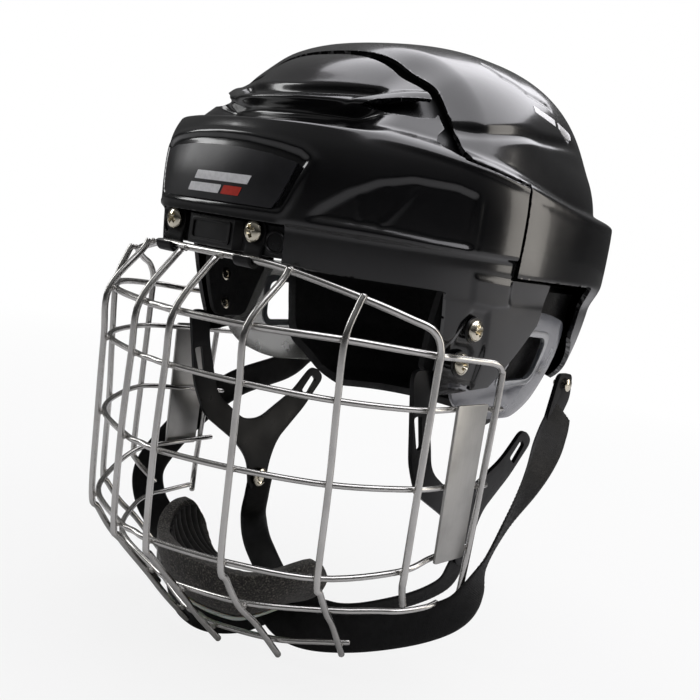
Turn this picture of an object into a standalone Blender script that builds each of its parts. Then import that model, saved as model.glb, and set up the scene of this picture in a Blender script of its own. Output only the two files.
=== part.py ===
"""Ice hockey helmet with a wire face cage, as an assembly of separate pieces.

Frame: +Z up, the face looks along -Y, the wearer's left is +X.
The origin is on the flat front of the forehead band, between the two clips that hold the cage.
Driving dimensions are in millimetres and are turned into metres when a mesh is made.
"""
import bpy
import bmesh
from math import cos, sin, radians, sqrt, pi
from mathutils import Vector, Matrix

MM = 0.001
GAP = 0.35

# ---- helmet shell: a superellipsoid about SHELL_CENTRE, nearly straight below it ----
SHELL_CENTRE = Vector((0.0, 136.6, 20.0))
SHELL_HALF_WIDTH = 107.0
SHELL_HALF_LENGTH = 138.6
SHELL_REAR_LENGTH = 131.5
SHELL_CROWN = 87.0
SHELL_DEPTH = 150.0
SHELL_POWER = 2.4
SHELL_WALL = 2.5
BROW_BULGE = 3.4
SHELF_STEP = 19.0
TEMPLE_STEP = 5.0
REAR_STEP = 10.0
LOWER_STEP = 4.0
HOOD_HALF_WIDTH = 60.0
BROW_EDGE_Z = 4.6
BAND_FOOT_Z = -10.4
BAND_WALL = 3.2
BAND_PAD_HALF = 16.0
BAND_RECESS = 3.6
BROW_HALF_WIDTH = 44.0

# ---- joint line between front and rear shell ----
SEAM_TOP_Y = 61.0
SEAM_BELT_Y = 100.0
SEAM_GAP = 2.0
GRID_COLUMNS = 52
GRID_ROWS = 21
GRID_LOW = -40.0
CHANNEL_WIDTH = 5.0
STRIP_OVERLAP = 21.0
NECK_LINER_DROP = 104.0
STRIP_INSET = 5.2
STRIP_WALL = 1.6

# ---- face opening, temple skirt and ear opening, as lines in the side view ----
OPENING_Z = -14.0
SKIRT_FRONT_TOP = (66.0, -22.0)
SKIRT_FRONT_FOOT = (77.0, -64.0)
SKIRT_REAR_TOP = (144.0, -13.0)
SKIRT_REAR_FOOT = (111.0, -64.0)
SKIRT_FOOT_Z = -64.0
EAR_TOP_Z = -13.0
LEG_FRONT_TOP = (158.0, -13.0)
LEG_FRONT_KNEE = (184.0, -32.0)
LEG_FOOT_Z = -62.0

# ---- brow badge ----
BADGE_FOOT_Z = 11.0
BADGE_TOP_Z = 33.0
BADGE_FOOT_HALF = 37.5
BADGE_TOP_HALF = 44.5
BADGE_WALL = 1.0

# ---- wires of the cage ----
FRAME_RADIUS = 1.7
UPRIGHT_RADIUS = 1.6
CROSS_RADIUS = 1.45
UPRIGHT_X = (13.0, 51.5, 84.3)
SIDE_X = 105.6
SIDE_FRONT_Y = 49.5
SIDE_REAR_Y = 103.0
CLIP_X = 28.5
HINGE_Y = -0.9
HINGE_Z = -12.7
PLATE_WALL = 1.4

# ---- webbing ----
WEB_WIDTH = 19.0
WEB_WALL = 1.6

for old in list(bpy.data.objects):
    bpy.data.objects.remove(old, do_unlink=True)

PARTS = bpy.data.collections.new("hockey_helmet_with_cage")
bpy.context.scene.collection.children.link(PARTS)


# ---------------------------------------------------------------- materials
def material(name, colour, roughness, metallic=0.0, alpha=1.0):
    mat = bpy.data.materials.new(name)
    mat.use_nodes = True
    shader = mat.node_tree.nodes["Principled BSDF"]
    shader.inputs["Base Color"].default_value = (*colour, 1.0)
    shader.inputs["Roughness"].default_value = roughness
    shader.inputs["Metallic"].default_value = metallic
    shader.inputs["Alpha"].default_value = alpha
    return mat


BLACK_GLOSS = material("black_gloss_shell", (0.012, 0.012, 0.014), 0.18)
BLACK_MATTE = material("black_matte_plastic", (0.02, 0.02, 0.02), 0.55)
CHARCOAL = material("charcoal_plastic", (0.035, 0.035, 0.038), 0.4)
STEEL = material("satin_steel", (0.62, 0.61, 0.59), 0.3, 1.0)
NICKEL = material("nickel_plate", (0.72, 0.68, 0.6), 0.25, 1.0)
SMOKY = material("smoky_clear_plastic", (0.3, 0.31, 0.32), 0.2, 0.0, 0.7)
FOAM = material("black_foam", (0.015, 0.015, 0.015), 0.9)
FELT = material("speckled_felt", (0.06, 0.055, 0.05), 0.95)
PALE = material("pale_plastic", (0.75, 0.77, 0.72), 0.4)
WEBBING = material("black_webbing", (0.012, 0.012, 0.012), 0.8)


# ---------------------------------------------------------------- helpers
def link(obj, mat, collection=PARTS):
    """Put an object in its collection with one material and smooth faces."""
    collection.objects.link(obj)
    obj.data.materials.clear()
    obj.data.materials.append(mat)
    return obj


def mesh_object(name, bm, mat):
    """A new object from a bmesh whose coordinates are millimetres."""
    bmesh.ops.scale(bm, vec=(MM, MM, MM), verts=bm.verts)
    mesh = bpy.data.meshes.new(name)
    bm.to_mesh(mesh)
    bm.free()
    mesh.shade_smooth()
    mesh.set_sharp_from_angle(angle=radians(40))
    return link(bpy.data.objects.new(name, mesh), mat)


def solidify(obj, wall, offset=-1.0):
    """Give an open sheet its wall: offset -1 grows it inward from the sheet."""
    mod = obj.modifiers.new("wall", "SOLIDIFY")
    mod.thickness = wall * MM
    mod.offset = offset
    mod.use_even_offset = True
    mod.thickness_clamp = 0.0
    return obj


def spline_points(points, per_span):
    """Smooth curve through the points (Catmull-Rom), as a list of vectors."""
    knots = [Vector(p) for p in points]
    ends = [knots[0] * 2 - knots[1]] + knots + [knots[-1] * 2 - knots[-2]]
    out = []
    for i in range(1, len(ends) - 2):
        p0, p1, p2, p3 = ends[i - 1:i + 3]
        for k in range(per_span):
            t = k / per_span
            a = (p1 * 2) + (p2 - p0) * t
            b = (p0 * 2 - p1 * 5 + p2 * 4 - p3) * (t * t)
            c = (p1 * 3 - p0 - p2 * 3 + p3) * (t * t * t)
            out.append((a + b + c) * 0.5)
    out.append(knots[-1])
    return out


def wire(name, points, radius, mat=STEEL):
    """A round bar along the points."""
    curve = bpy.data.curves.new(name, "CURVE")
    curve.dimensions = "3D"
    curve.bevel_depth = radius * MM
    curve.bevel_resolution = 1
    curve.use_fill_caps = True
    line = curve.splines.new("POLY")
    line.points.add(len(points) - 1)
    for slot, p in zip(line.points, points):
        slot.co = (p[0] * MM, p[1] * MM, p[2] * MM, 1.0)
    return link(bpy.data.objects.new(name, curve), mat)


def flat_outline(name, outlines, thickness, mat):
    """A plate in the local XY plane from closed outlines; inner outlines are holes."""
    curve = bpy.data.curves.new(name, "CURVE")
    curve.dimensions = "2D"
    curve.fill_mode = "BOTH"
    curve.extrude = thickness / 2 * MM
    for outline in outlines:
        line = curve.splines.new("POLY")
        line.points.add(len(outline) - 1)
        for slot, (u, v) in zip(line.points, outline):
            slot.co = (u * MM, v * MM, 0.0, 1.0)
        line.use_cyclic_u = True
    return link(bpy.data.objects.new(name, curve), mat)


def rounded(corners, radius, steps=4):
    """A closed polygon with every corner rounded."""
    out = []
    count = len(corners)
    for i in range(count):
        here = Vector(corners[i])
        before = (Vector(corners[i - 1]) - here)
        after = (Vector(corners[(i + 1) % count]) - here)
        reach = min(radius, before.length * 0.45, after.length * 0.45)
        start = here + before.normalized() * reach
        end = here + after.normalized() * reach
        for k in range(steps + 1):
            t = k / steps
            point = start.lerp(here, t).lerp(here.lerp(end, t), t)
            out.append((point.x, point.y))
    return out


def to_mesh(obj):
    """Turn a curve object into a welded mesh object of the same name and place."""
    depsgraph = bpy.context.evaluated_depsgraph_get()
    mesh = bpy.data.meshes.new_from_object(obj.evaluated_get(depsgraph))
    bm = bmesh.new()
    bm.from_mesh(mesh)
    bmesh.ops.remove_doubles(bm, verts=bm.verts, dist=1e-6)
    bm.to_mesh(mesh)
    bm.free()
    name = obj.name
    mat = obj.data.materials[0]
    place = obj.matrix_world.copy()
    bpy.data.objects.remove(obj, do_unlink=True)
    new = bpy.data.objects.new(name, mesh)
    new.matrix_world = place
    return link(new, mat)


def bend(obj, rule):
    """Move every vertex of a mesh object by a rule on millimetre coordinates."""
    for vert in obj.data.vertices:
        vert.co = rule(vert.co / MM) * MM
    return obj


def grid_sheet(name, surface, columns, rows, mat):
    """An open sheet from surface(i/columns, j/rows)."""
    bm = bmesh.new()
    lattice = []
    for j in range(rows + 1):
        lattice.append([bm.verts.new(surface(i / columns, j / rows)) for i in range(columns + 1)])
    for j in range(rows):
        for i in range(columns):
            bm.faces.new((lattice[j][i], lattice[j][i + 1], lattice[j + 1][i + 1], lattice[j + 1][i]))
    return mesh_object(name, bm, mat)


def ribbon(name, path, sides, width, wall, mat, per_span=5):
    """Flat webbing: path points with the direction of its width at each of them."""
    centres = spline_points(path, per_span)
    across = spline_points(sides, per_span)
    last = len(centres) - 1

    def surface(u, v):
        i = round(u * last)
        return centres[i] + across[i].normalized() * ((v - 0.5) * width)

    return solidify(grid_sheet(name, surface, last, 1, mat), wall, 0.0)


def mirrored(point):
    return (-point[0], point[1], point[2])


# ---------------------------------------------------------------- shell surface
def smooth(low, high, value):
    t = min(1.0, max(0.0, (value - low) / (high - low)))
    return t * t * (3.0 - 2.0 * t)


def side_of(line_start, line_end, y, z):
    """Signed distance in the side view: positive to the left of the line's direction."""
    dy, dz = line_end[0] - line_start[0], line_end[1] - line_start[1]
    return (dy * (z - line_start[1]) - dz * (y - line_start[0])) / sqrt(dy * dy + dz * dz)


def ridge_height(y):
    """Height of the edge between the crown and the upright belt."""
    return 50.0 - 19.5 * smooth(0.0, 190.0, y)


def relief(p):
    """How far the surface steps in: the shelf under the hood, the crown behind the belt, the lower edge."""
    height = p.z - ridge_height(p.y)
    backward = smooth(60.0, 180.0, p.y)
    middle = smooth(HOOD_HALF_WIDTH + 12.0, HOOD_HALF_WIDTH - 12.0, abs(p.x)) * smooth(110.0, 60.0, p.y)
    shelf = SHELF_STEP * smooth(0.0, 7.0, height) * (1.0 - 0.5 * smooth(15.0, 22.0, height))
    shelf *= 1.0 - smooth(28.0, 55.0, height)
    temple = TEMPLE_STEP * smooth(0.0, 9.0, height) * (1.0 - smooth(12.0, 50.0, height))
    rear = REAR_STEP * smooth(0.0, 9.0, height) * (1.15 - 1.35 * smooth(30.0, 80.0, height))
    front = shelf * middle + temple * (1.0 - middle)
    lower = LOWER_STEP * smooth(-1.0, -18.0, p.z) * smooth(40.0, 80.0, p.y)
    return front * (1.0 - backward) + rear * backward + lower


def shell_point(azimuth, elevation, inset=0.0):
    """A point of the outer shell surface, or one set inward along the ray from the centre."""
    ray = Vector((sin(azimuth) * cos(elevation), -cos(azimuth) * cos(elevation), sin(elevation)))
    height = SHELL_CROWN if ray.z > 0 else SHELL_DEPTH
    total = abs(ray.x / SHELL_HALF_WIDTH) ** SHELL_POWER
    length = SHELL_HALF_LENGTH if ray.y < 0 else SHELL_REAR_LENGTH
    total += abs(ray.y / length) ** SHELL_POWER
    total += abs(ray.z / height) ** SHELL_POWER
    point = SHELL_CENTRE + ray * (total ** (-1.0 / SHELL_POWER))
    front = smooth(62.0, 30.0, abs(point.x)) * smooth(60.0, 20.0, point.y)
    low = smooth(58.0, 20.0, point.z)
    point += Vector((0.0, -BROW_BULGE * front * low, 0.0))
    return point - ray * (inset + relief(point))


def keep_front(p):
    """Positive where the front shell has material."""
    ridge = ridge_height(p.y)
    ahead = max(SEAM_TOP_Y - p.y, min(SEAM_BELT_Y - p.y, ridge - p.z))
    brow = max(p.z - BROW_EDGE_Z, abs(p.x) - BROW_HALF_WIDTH if p.y < SHELL_CENTRE.y else -1.0)
    skirt = min(side_of(SKIRT_FRONT_FOOT, SKIRT_FRONT_TOP, p.y, p.z) * -1.0,
                side_of(SKIRT_REAR_FOOT, SKIRT_REAR_TOP, p.y, p.z),
                p.z - SKIRT_FOOT_Z)
    edge = max(p.z - OPENING_Z, skirt)
    if p.z < 0.0:
        ahead = max(ahead, min(144.0 - p.y, -5.0 - p.z))
    return min(ahead, brow, edge)


def keep_rear(p):
    """Positive where the rear shell has material."""
    ridge = ridge_height(p.y)
    behind = -max(SEAM_TOP_Y + CHANNEL_WIDTH - p.y, min(SEAM_BELT_Y + SEAM_GAP - p.y, ridge + SEAM_GAP - p.z))
    leg = min(side_of(LEG_FRONT_KNEE, LEG_FRONT_TOP, p.y, p.z) * -1.0, p.y - LEG_FRONT_KNEE[0], p.z - LEG_FOOT_Z)
    upper = p.z - (-5.0 + SEAM_GAP) if p.y < 146.0 else p.z - EAR_TOP_Z
    return min(behind, max(upper, leg))


def keep_strip(p):
    """Positive where the sliding strip under the joint line has material."""
    ridge = ridge_height(p.y)
    over = STRIP_OVERLAP
    top = min(over - abs(p.y - SEAM_TOP_Y - 4.0), p.z - ridge + 3.0)
    belt = min(over - abs(p.y - SEAM_BELT_Y - 4.0), ridge + 3.0 - p.z, p.z - 6.0)
    return max(top, belt)


def trimmed_sheet(name, keep, inset, columns, rows, low, mat, high=90.0, arc=(0.0, 360.0)):
    """The part of the shell surface where keep(point) is positive, cut cleanly along its zero line."""
    bm = bmesh.new()
    full = arc == (0.0, 360.0)
    count = columns if full else columns + 1
    rings = []
    field = {}
    for j in range(rows + 1):
        elevation = radians(low + (high - low) * j / rows)
        if j == rows and high == 90.0:
            break
        ring = []
        for i in range(count):
            azimuth = radians(arc[0] + (arc[1] - arc[0]) * i / columns)
            vert = bm.verts.new(shell_point(azimuth, elevation, inset))
            field[vert] = keep(shell_point(azimuth, elevation))
            ring.append(vert)
        rings.append(ring)
    for below, above in zip(rings, rings[1:]):
        for i in range(columns):
            k = (i + 1) % count
            bm.faces.new((below[i], below[k], above[k], above[i]))
    if high == 90.0:
        pole = bm.verts.new(shell_point(0.0, radians(90.0), inset))
        field[pole] = keep(shell_point(0.0, radians(90.0)))
        for i in range(columns):
            bm.faces.new((rings[-1][i], rings[-1][(i + 1) % count], pole))
    cut_at_zero(bm, field)
    return mesh_object(name, bm, mat)


def cut_at_zero(bm, field):
    """Split the faces along the zero line of the field and drop the negative side."""
    near = 0.06
    on_line = {v for v, value in field.items() if abs(value) < 1e-9}
    for edge in list(bm.edges):
        a, b = edge.verts
        fa, fb = field[a], field[b]
        if fa * fb >= 0.0:
            continue
        t = fa / (fa - fb)
        if t < near:
            on_line.add(a)
            a.co = a.co.lerp(b.co, t)
            field[a] = 0.0
        elif t > 1.0 - near:
            on_line.add(b)
            b.co = a.co.lerp(b.co, t)
            field[b] = 0.0
        else:
            _, vert = bmesh.utils.edge_split(edge, a, t)
            field[vert] = 0.0
            on_line.add(vert)
    for face in list(bm.faces):
        cuts = [v for v in face.verts if v in on_line]
        if len(cuts) == 2:
            i, j = sorted(list(face.verts).index(v) for v in cuts)
            if j - i not in (1, len(face.verts) - 1):
                bmesh.utils.face_split(face, cuts[0], cuts[1])
    gone = [f for f in bm.faces if sum(field[v] for v in f.verts) <= 0.0]
    bmesh.ops.delete(bm, geom=gone, context="FACES")
    keep_largest_piece(bm)


def keep_largest_piece(bm):
    """Drop crumbs that the cut may leave beside the main sheet."""
    left = set(bm.faces)
    pieces = []
    while left:
        stack = [left.pop()]
        piece = set(stack)
        while stack:
            for edge in stack.pop().edges:
                for other in edge.link_faces:
                    if other in left:
                        left.remove(other)
                        piece.add(other)
                        stack.append(other)
        pieces.append(piece)
    pieces.sort(key=len)
    crumbs = [face for piece in pieces[:-1] for face in piece]
    bmesh.ops.delete(bm, geom=crumbs, context="FACES")
    loose = [v for v in bm.verts if not v.link_faces]
    bmesh.ops.delete(bm, geom=loose, context="VERTS")


def helmet_shells():
    front = trimmed_sheet("front_shell", keep_front, 0.0, GRID_COLUMNS, GRID_ROWS, GRID_LOW, BLACK_GLOSS)
    solidify(front, SHELL_WALL)
    rear = trimmed_sheet("rear_shell", keep_rear, 0.0, GRID_COLUMNS, GRID_ROWS, GRID_LOW, BLACK_GLOSS)
    solidify(rear, SHELL_WALL)
    strip = trimmed_sheet("slide_strip", keep_strip, STRIP_INSET, GRID_COLUMNS, GRID_ROWS, GRID_LOW, BLACK_MATTE)
    solidify(strip, STRIP_WALL)


helmet_shells()


# ---------------------------------------------------------------- band, badge and pads
def forehead_band():
    """The flat-fronted band under the brow; the clips sit in its two recesses."""
    half = BROW_HALF_WIDTH - 1.2
    right = [(BAND_PAD_HALF, 0.0), (BAND_PAD_HALF + 2.5, BAND_RECESS), (CLIP_X + 7.0, BAND_RECESS), (half, 7.5)]
    front = [(-x, y) for x, y in reversed(right)] + right
    back = [(half, 7.5 + BAND_WALL), (CLIP_X + 7.0, BAND_RECESS + BAND_WALL), (0.0, BAND_WALL)]
    back += [(-CLIP_X - 7.0, BAND_RECESS + BAND_WALL), (-half, 7.5 + BAND_WALL)]
    top = BROW_EDGE_Z - 0.6
    band = flat_outline("forehead_band", [front + back], top - BAND_FOOT_Z, BLACK_MATTE)
    band.location.z = (top + BAND_FOOT_Z) / 2 * MM
    return band


def badge_plate():
    """The trapezoid plate on the brow."""

    def surface(u, v):
        z = BADGE_FOOT_Z + (BADGE_TOP_Z - BADGE_FOOT_Z) * v
        half = BADGE_FOOT_HALF + (BADGE_TOP_HALF - BADGE_FOOT_HALF) * v
        return on_brow(half * (2.0 * u - 1.0), z, -0.5)

    plate = grid_sheet("badge_plate", surface, 14, 3, BLACK_MATTE)
    return solidify(plate, BADGE_WALL, 1.0)


def on_brow(x, z, inset):
    """The point of the front surface at a given x and height."""
    azimuth, elevation = 0.0, 0.0
    for _ in range(12):
        point = shell_point(azimuth, elevation, inset)
        azimuth += (x - point.x) / SHELL_HALF_LENGTH
        elevation += (z - point.z) / SHELL_HALF_LENGTH
    return point


def liner(name, keep, inset, wall, low, high, arc, columns, rows):
    pad = trimmed_sheet(name, keep, inset, columns, rows, low, FOAM, high, arc)
    return solidify(pad, wall)


def liners():
    """Foam pads, each clear of the next and of the sliding strip."""
    deep = STRIP_INSET + STRIP_WALL + 1.0
    liner("front_liner", lambda p: min(p.z + 4.0, 56.0 - p.z), deep + 7.0, 9.0, -14.0, 30.0, (-36.0, 36.0), 14, 8)
    liner("crown_liner", lambda p: min(55.0 - abs(p.x), p.y - 62.0, 205.0 - p.y, p.z - 62.0),
          deep, 10.0, 20.0, 90.0, (0.0, 360.0), 28, 12)
    liner("rear_liner", lambda p: min(52.0 - p.z, p.z + 8.0), deep + 2.0, 9.0, -20.0, 20.0, (140.0, 220.0), 14, 8)
    liner("neck_liner", lambda p: min(-12.0 - p.z, p.z + NECK_LINER_DROP), deep + 2.0, 8.0, -63.0, -8.0,
          (87.0, 273.0), 32, 10)
    for side, arc in (("left", (62.0, 128.0)), ("right", (-128.0, -62.0))):
        liner("side_liner_" + side, lambda p: min(34.0 - p.z, p.z + 6.0), deep + 2.4, 9.0, -20.0, 20.0, arc, 14, 8)


# ---------------------------------------------------------------- ear guards and loops
EAR_OUTLINE = [(88.0, -24.0), (110.0, -19.0), (150.0, -19.0), (176.0, -24.0), (180.0, -40.0),
               (176.0, -72.0), (166.0, -81.0), (126.0, -80.0), (98.0, -70.0), (86.0, -50.0)]
EAR_INSET = 2.4
EAR_HOLE = [(132.0, -32.0), (158.0, -33.0), (158.0, -56.0), (127.0, -57.0)]


def ear_side(y, z):
    """Half-width of the ear guard's middle surface: it lies just inside the shell."""
    return half_width_at(y, z) - SHELL_WALL - EAR_INSET


def in_side_view(obj, side, rule):
    """Stand a flat outline up in the side view (its X becomes Y, its Y becomes Z) and curve it."""
    return bend(to_mesh(obj), lambda p: Vector((side * (rule(p.x, p.y) + p.z * side), p.x, p.y)))


def ear_guard(name, side):
    outlines = [rounded(EAR_OUTLINE, 12.0), rounded(EAR_HOLE, 6.0)]
    plate = flat_outline(name, outlines, 2.0, SMOKY)
    return in_side_view(plate, side, ear_side)


def loop_half_width(z):
    """The ear loop hangs from inside the shell and leans in towards the jaw."""
    return 83.0 - 10.0 * smooth(-90.0, -165.0, z)


def ear_loop(name, side, swing):
    """The moulded Y strap: two slotted branches that join above a tab with a snap."""
    outer = [(62.0, -70.0), (77.0, -68.0), (90.0, -104.0), (112.0, -120.0), (126.0, -120.0), (156.0, -103.0),
             (172.0, -86.0), (184.0, -94.0), (166.0, -114.0), (141.0, -134.0), (134.0, -148.0), (132.0, -166.0),
             (119.0, -166.0), (116.0, -146.0), (106.0, -134.0), (80.0, -116.0), (71.0, -96.0)]
    slots = [[(67.5, -75.0), (73.0, -74.0), (78.0, -91.0), (74.0, -92.0)],
             [(163.0, -103.0), (168.0, -107.0), (176.0, -96.0), (171.5, -92.5)]]
    plate = flat_outline(name, [rounded(outer, 7.0)] + [rounded(s, 1.5, 2) for s in slots], 2.2, CHARCOAL)

    loop = in_side_view(plate, side, lambda y, z: loop_half_width(z))
    return bend(loop, lambda p: p + Vector((0.0, swing * smooth(-95.0, -165.0, p.z), 0.0)))


def disc(name, place, axis, radius, thickness, mat, dome=0.0, sides=20):
    """A round head whose axis points along the given direction."""
    bm = bmesh.new()
    bmesh.ops.create_cone(bm, cap_ends=True, segments=sides, radius1=radius, radius2=radius - dome, depth=thickness)
    turn = Vector((0.0, 0.0, 1.0)).rotation_difference(Vector(axis)).to_matrix().to_4x4()
    bmesh.ops.transform(bm, matrix=Matrix.Translation(Vector(place)) @ turn, verts=bm.verts)
    return mesh_object(name, bm, mat)


SNAP_Z = -157.0
SNAP_HALF = loop_half_width(SNAP_Z) - 2.9
SNAP_PLACE = {"left": (SNAP_HALF, 149.0, SNAP_Z), "right": (-SNAP_HALF, 126.0, SNAP_Z)}
SWING = {"left": 23.0, "right": 0.0}


def ear_pieces():
    for name, side in (("left", 1.0), ("right", -1.0)):
        ear_guard("ear_guard_" + name, side)
        ear_loop("ear_loop_" + name, side, SWING[name])


# ---------------------------------------------------------------- fasteners
def screws():
    """Screws at the temples and in the cage clips."""
    for name, side in (("left", 1.0), ("right", -1.0)):
        for label, y, z in (("upper", 85.0, -30.0), ("lower", 84.0, -47.0)):
            x = half_width_at(y, z) + 2.8
            disc("temple_screw_%s_%s" % (label, name), (side * x, y, z), (side, 0.0, 0.0), 4.4, 2.0, NICKEL, 1.0)
        disc("clip_screw_" + name, (side * CLIP_X, 0.2, -0.3), (0.0, -1.0, 0.0), 4.2, 2.2, NICKEL, 1.0)


def half_width_at(y, z):
    """Half-width of the shell's outer surface at a place in the side view."""
    azimuth, elevation = radians(90.0), 0.0
    for _ in range(14):
        point = shell_point(azimuth, elevation)
        azimuth += (y - point.y) / SHELL_HALF_WIDTH
        elevation += (z - point.z) / SHELL_HALF_WIDTH
    return point.x


def cage_clips():
    """J-shaped strips that hold the top wire and let it turn."""
    reach = FRAME_RADIUS + 0.8 + 0.6
    profile = [(2.5, 3.0), (2.5, -6.0), (2.3, -9.5)]
    profile += [(HINGE_Y + reach * cos(radians(a)), HINGE_Z + reach * sin(radians(a))) for a in range(10, -201, -20)]
    for name, side in (("left", 1.0), ("right", -1.0)):
        def surface(u, v):
            y, z = profile[round(u * (len(profile) - 1))]
            return (side * CLIP_X + (v - 0.5) * 11.0, y, z)

        sheet = grid_sheet("cage_clip_" + name, surface, len(profile) - 1, 1, CHARCOAL)
        solidify(sheet, 1.2, 0.0)


# ---------------------------------------------------------------- cage
def plan_curve(stations, span=3):
    """A cross wire from its left half: points go from the middle to the left rear end."""
    right = [(-x, y, z) for x, y, z in reversed(stations[1:])]
    return spline_points(right + stations, span)


UPRIGHT_STATIONS = {
    0: [(-4.8, -14.2), (-9.2, -18.5), (-24.9, -40.1), (-25.9, -64.5), (-25.9, -104.0), (-23.4, -147.0),
        (-19.0, -155.0), (0.5, -176.0), (14.0, -191.0), (31.0, -208.0)],
    1: [(3.7, -13.0), (0.3, -19.0), (-16.2, -39.6), (-15.8, -64.2), (-14.0, -102.4), (-11.4, -145.5),
        (-6.5, -154.0), (4.0, -168.5), (18.0, -181.0), (38.0, -202.5)],
    2: [(17.3, -18.6), (14.5, -24.0), (9.6, -38.7), (11.0, -65.3), (14.2, -102.9), (16.5, -146.3),
        (20.0, -153.0), (29.0, -165.0), (39.0, -175.0), (56.0, -196.0)],
}


def upright_x(base, z):
    """The uprights lean inward under the chin."""
    return base * (1.0 - 0.13 * smooth(-150.0, -200.0, z) * (base / UPRIGHT_X[2]) ** 2)


def uprights():
    for index, base in enumerate(UPRIGHT_X):
        for name, side in (("left", 1.0), ("right", -1.0)):
            points = [(side * upright_x(base, z), y, z) for y, z in UPRIGHT_STATIONS[index]]
            wire("upright_%s_%d" % (name, index + 1), spline_points(points, 3), UPRIGHT_RADIUS)


def cross_wire(name, front, a, e, f, rear, radius=CROSS_RADIUS):
    """A cross wire that passes just inside the uprights."""
    lane = UPRIGHT_RADIUS + radius + GAP
    inside = SIDE_X - FRAME_RADIUS - radius - GAP
    stations = [(0.0, front[0] - 0.6 + lane, front[1]), (UPRIGHT_X[0], front[0] + lane, front[1])]
    stations += [(UPRIGHT_X[1] - 1.1, a[0] + lane * 0.93, a[1]), (UPRIGHT_X[2] - 2.1, e[0] + lane * 0.72, e[1])]
    stations += [(inside, f[0], f[1])] + [(inside, y, z) for y, z in rear]
    return wire(name, plan_curve(stations), radius)


def cage_wires():
    """Two frame wires with bends, three cross wires, two chin wires."""
    top = [(0.0, -1.6, HINGE_Z), (13.0, -1.3, HINGE_Z), (CLIP_X - 7.0, HINGE_Y, HINGE_Z)]
    top += [(CLIP_X + 6.5, HINGE_Y, HINGE_Z), (50.5, 7.2, -14.6)]
    top += [(82.0, 19.6, -20.6), (97.0, 34.0, -26.0), (103.6, 44.0, -30.0), (SIDE_X, SIDE_FRONT_Y - 0.5, -38.0)]
    top += [(SIDE_X, SIDE_FRONT_Y, -52.0), (SIDE_X, SIDE_FRONT_Y + 0.5, -96.0), (SIDE_X, SIDE_FRONT_Y + 1.2, -140.0)]
    top += [(SIDE_X - 1.6, SIDE_FRONT_Y + 3.5, -149.0), (SIDE_X - 7.6, 64.5, -162.4)]
    wire("frame_wire_top", plan_curve(top, 3), FRAME_RADIUS)
    second = [(0.0, -21.7, -40.2), (13.0, -21.1, -40.1), (50.3, -12.5, -39.5), (81.7, 12.3, -38.7)]
    second += [(102.1, SIDE_FRONT_Y, -41.0), (102.1, 66.0, -42.2), (103.6, 84.0, -43.4), (SIDE_X, 96.0, -44.4)]
    second += [(SIDE_X, SIDE_REAR_Y - 1.5, -47.5), (SIDE_X, SIDE_REAR_Y, -54.0), (SIDE_X, SIDE_REAR_Y - 1.0, -100.0)]
    second += [(SIDE_X, SIDE_REAR_Y - 2.6, -148.0), (SIDE_X - 1.0, SIDE_REAR_Y - 3.5, -163.0)]
    second += [(SIDE_X - 6.5, SIDE_REAR_Y - 8.0, -171.5)]
    wire("frame_wire_side", plan_curve(second, 3), FRAME_RADIUS)
    cross_wire("cross_wire_1", (-25.9, -64.5), (-15.8, -64.2), (11.0, -65.3), (47.5, -65.8),
               [(80.0, -66.6), (114.0, -68.0)])
    cross_wire("cross_wire_2", (-25.9, -104.0), (-14.0, -102.4), (14.2, -102.9), (49.4, -102.4),
               [(80.0, -104.5), (112.0, -107.0)])
    cross_wire("cross_wire_3", (-23.4, -147.0), (-11.4, -145.5), (16.5, -146.3), (50.7, -141.5),
               [(76.0, -139.0), (108.0, -137.5)])
    chin = [(0.0, 3.4, -175.0), (13.0, 4.0, -174.2), (50.4, 9.4, -168.6), (78.0, 36.0, -166.6)]
    chin += [(89.5, 55.0, -166.4), (94.6, 68.0, -167.4), (98.0, 84.0, -167.4), (98.2, 93.0, -166.6)]
    wire("chin_wire_upper", plan_curve(chin), CROSS_RADIUS)
    low = [(0.0, 26.6, -198.6), (13.0, 27.2, -198.6), (46.0, 36.0, -194.6)]
    low += [(66.0, 48.6, -190.6), (76.5, 57.0, -188.3)]
    wire("chin_wire_lower", plan_curve(low), CROSS_RADIUS)


def side_plates():
    """Flat steel strips between the two side wires."""
    x = SIDE_X - FRAME_RADIUS + 1.15
    for name, side in (("left", 1.0), ("right", -1.0)):
        outline = rounded([(70.5, -64.0), (95.5, -64.0), (96.6, -141.0), (73.5, -141.0)], 1.5, 2)
        plate = flat_outline("side_plate_" + name, [outline], PLATE_WALL, STEEL)
        in_side_view(plate, side, lambda y, z: x)


# ---------------------------------------------------------------- chin cup and webbing
CUP_HALF_WIDTH = 55.0
CUP_FRONT_Y = 9.0
CUP_SIDE_Y = 52.0
CUP_SWEEP = 105.0


def cup_point(u, v, inset=0.0):
    """Chin cup surface: u goes round from ear to ear, v from the rim down to the bottom."""
    angle = radians(CUP_SWEEP) * (1.0 - 2.0 * u)
    ears = smooth(35.0, 85.0, abs(angle) * 180.0 / pi)
    rim = -171.0 + 15.0 * ears
    depth = (-196.0 + 8.0 * ears) - rim
    turn = radians(88.0) * v
    reach = 0.42 + 0.58 * cos(turn)
    x = (CUP_HALF_WIDTH - inset) * sin(angle) * reach
    y = CUP_SIDE_Y - (CUP_SIDE_Y - CUP_FRONT_Y - inset) * cos(angle) * reach
    return Vector((x, y, rim + (depth + inset) * sin(turn)))


def chin_cup():
    pad = grid_sheet("chin_cup_pad", lambda u, v: cup_point(u, v, 2.8), 22, 7, FELT)
    solidify(pad, 5.0, -1.0)
    base = grid_sheet("chin_cup_base", lambda u, v: cup_point(0.1 + 0.8 * u, 0.3 + 0.7 * v, 0.0), 18, 5, PALE)
    solidify(base, 1.2, -1.0)


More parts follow.
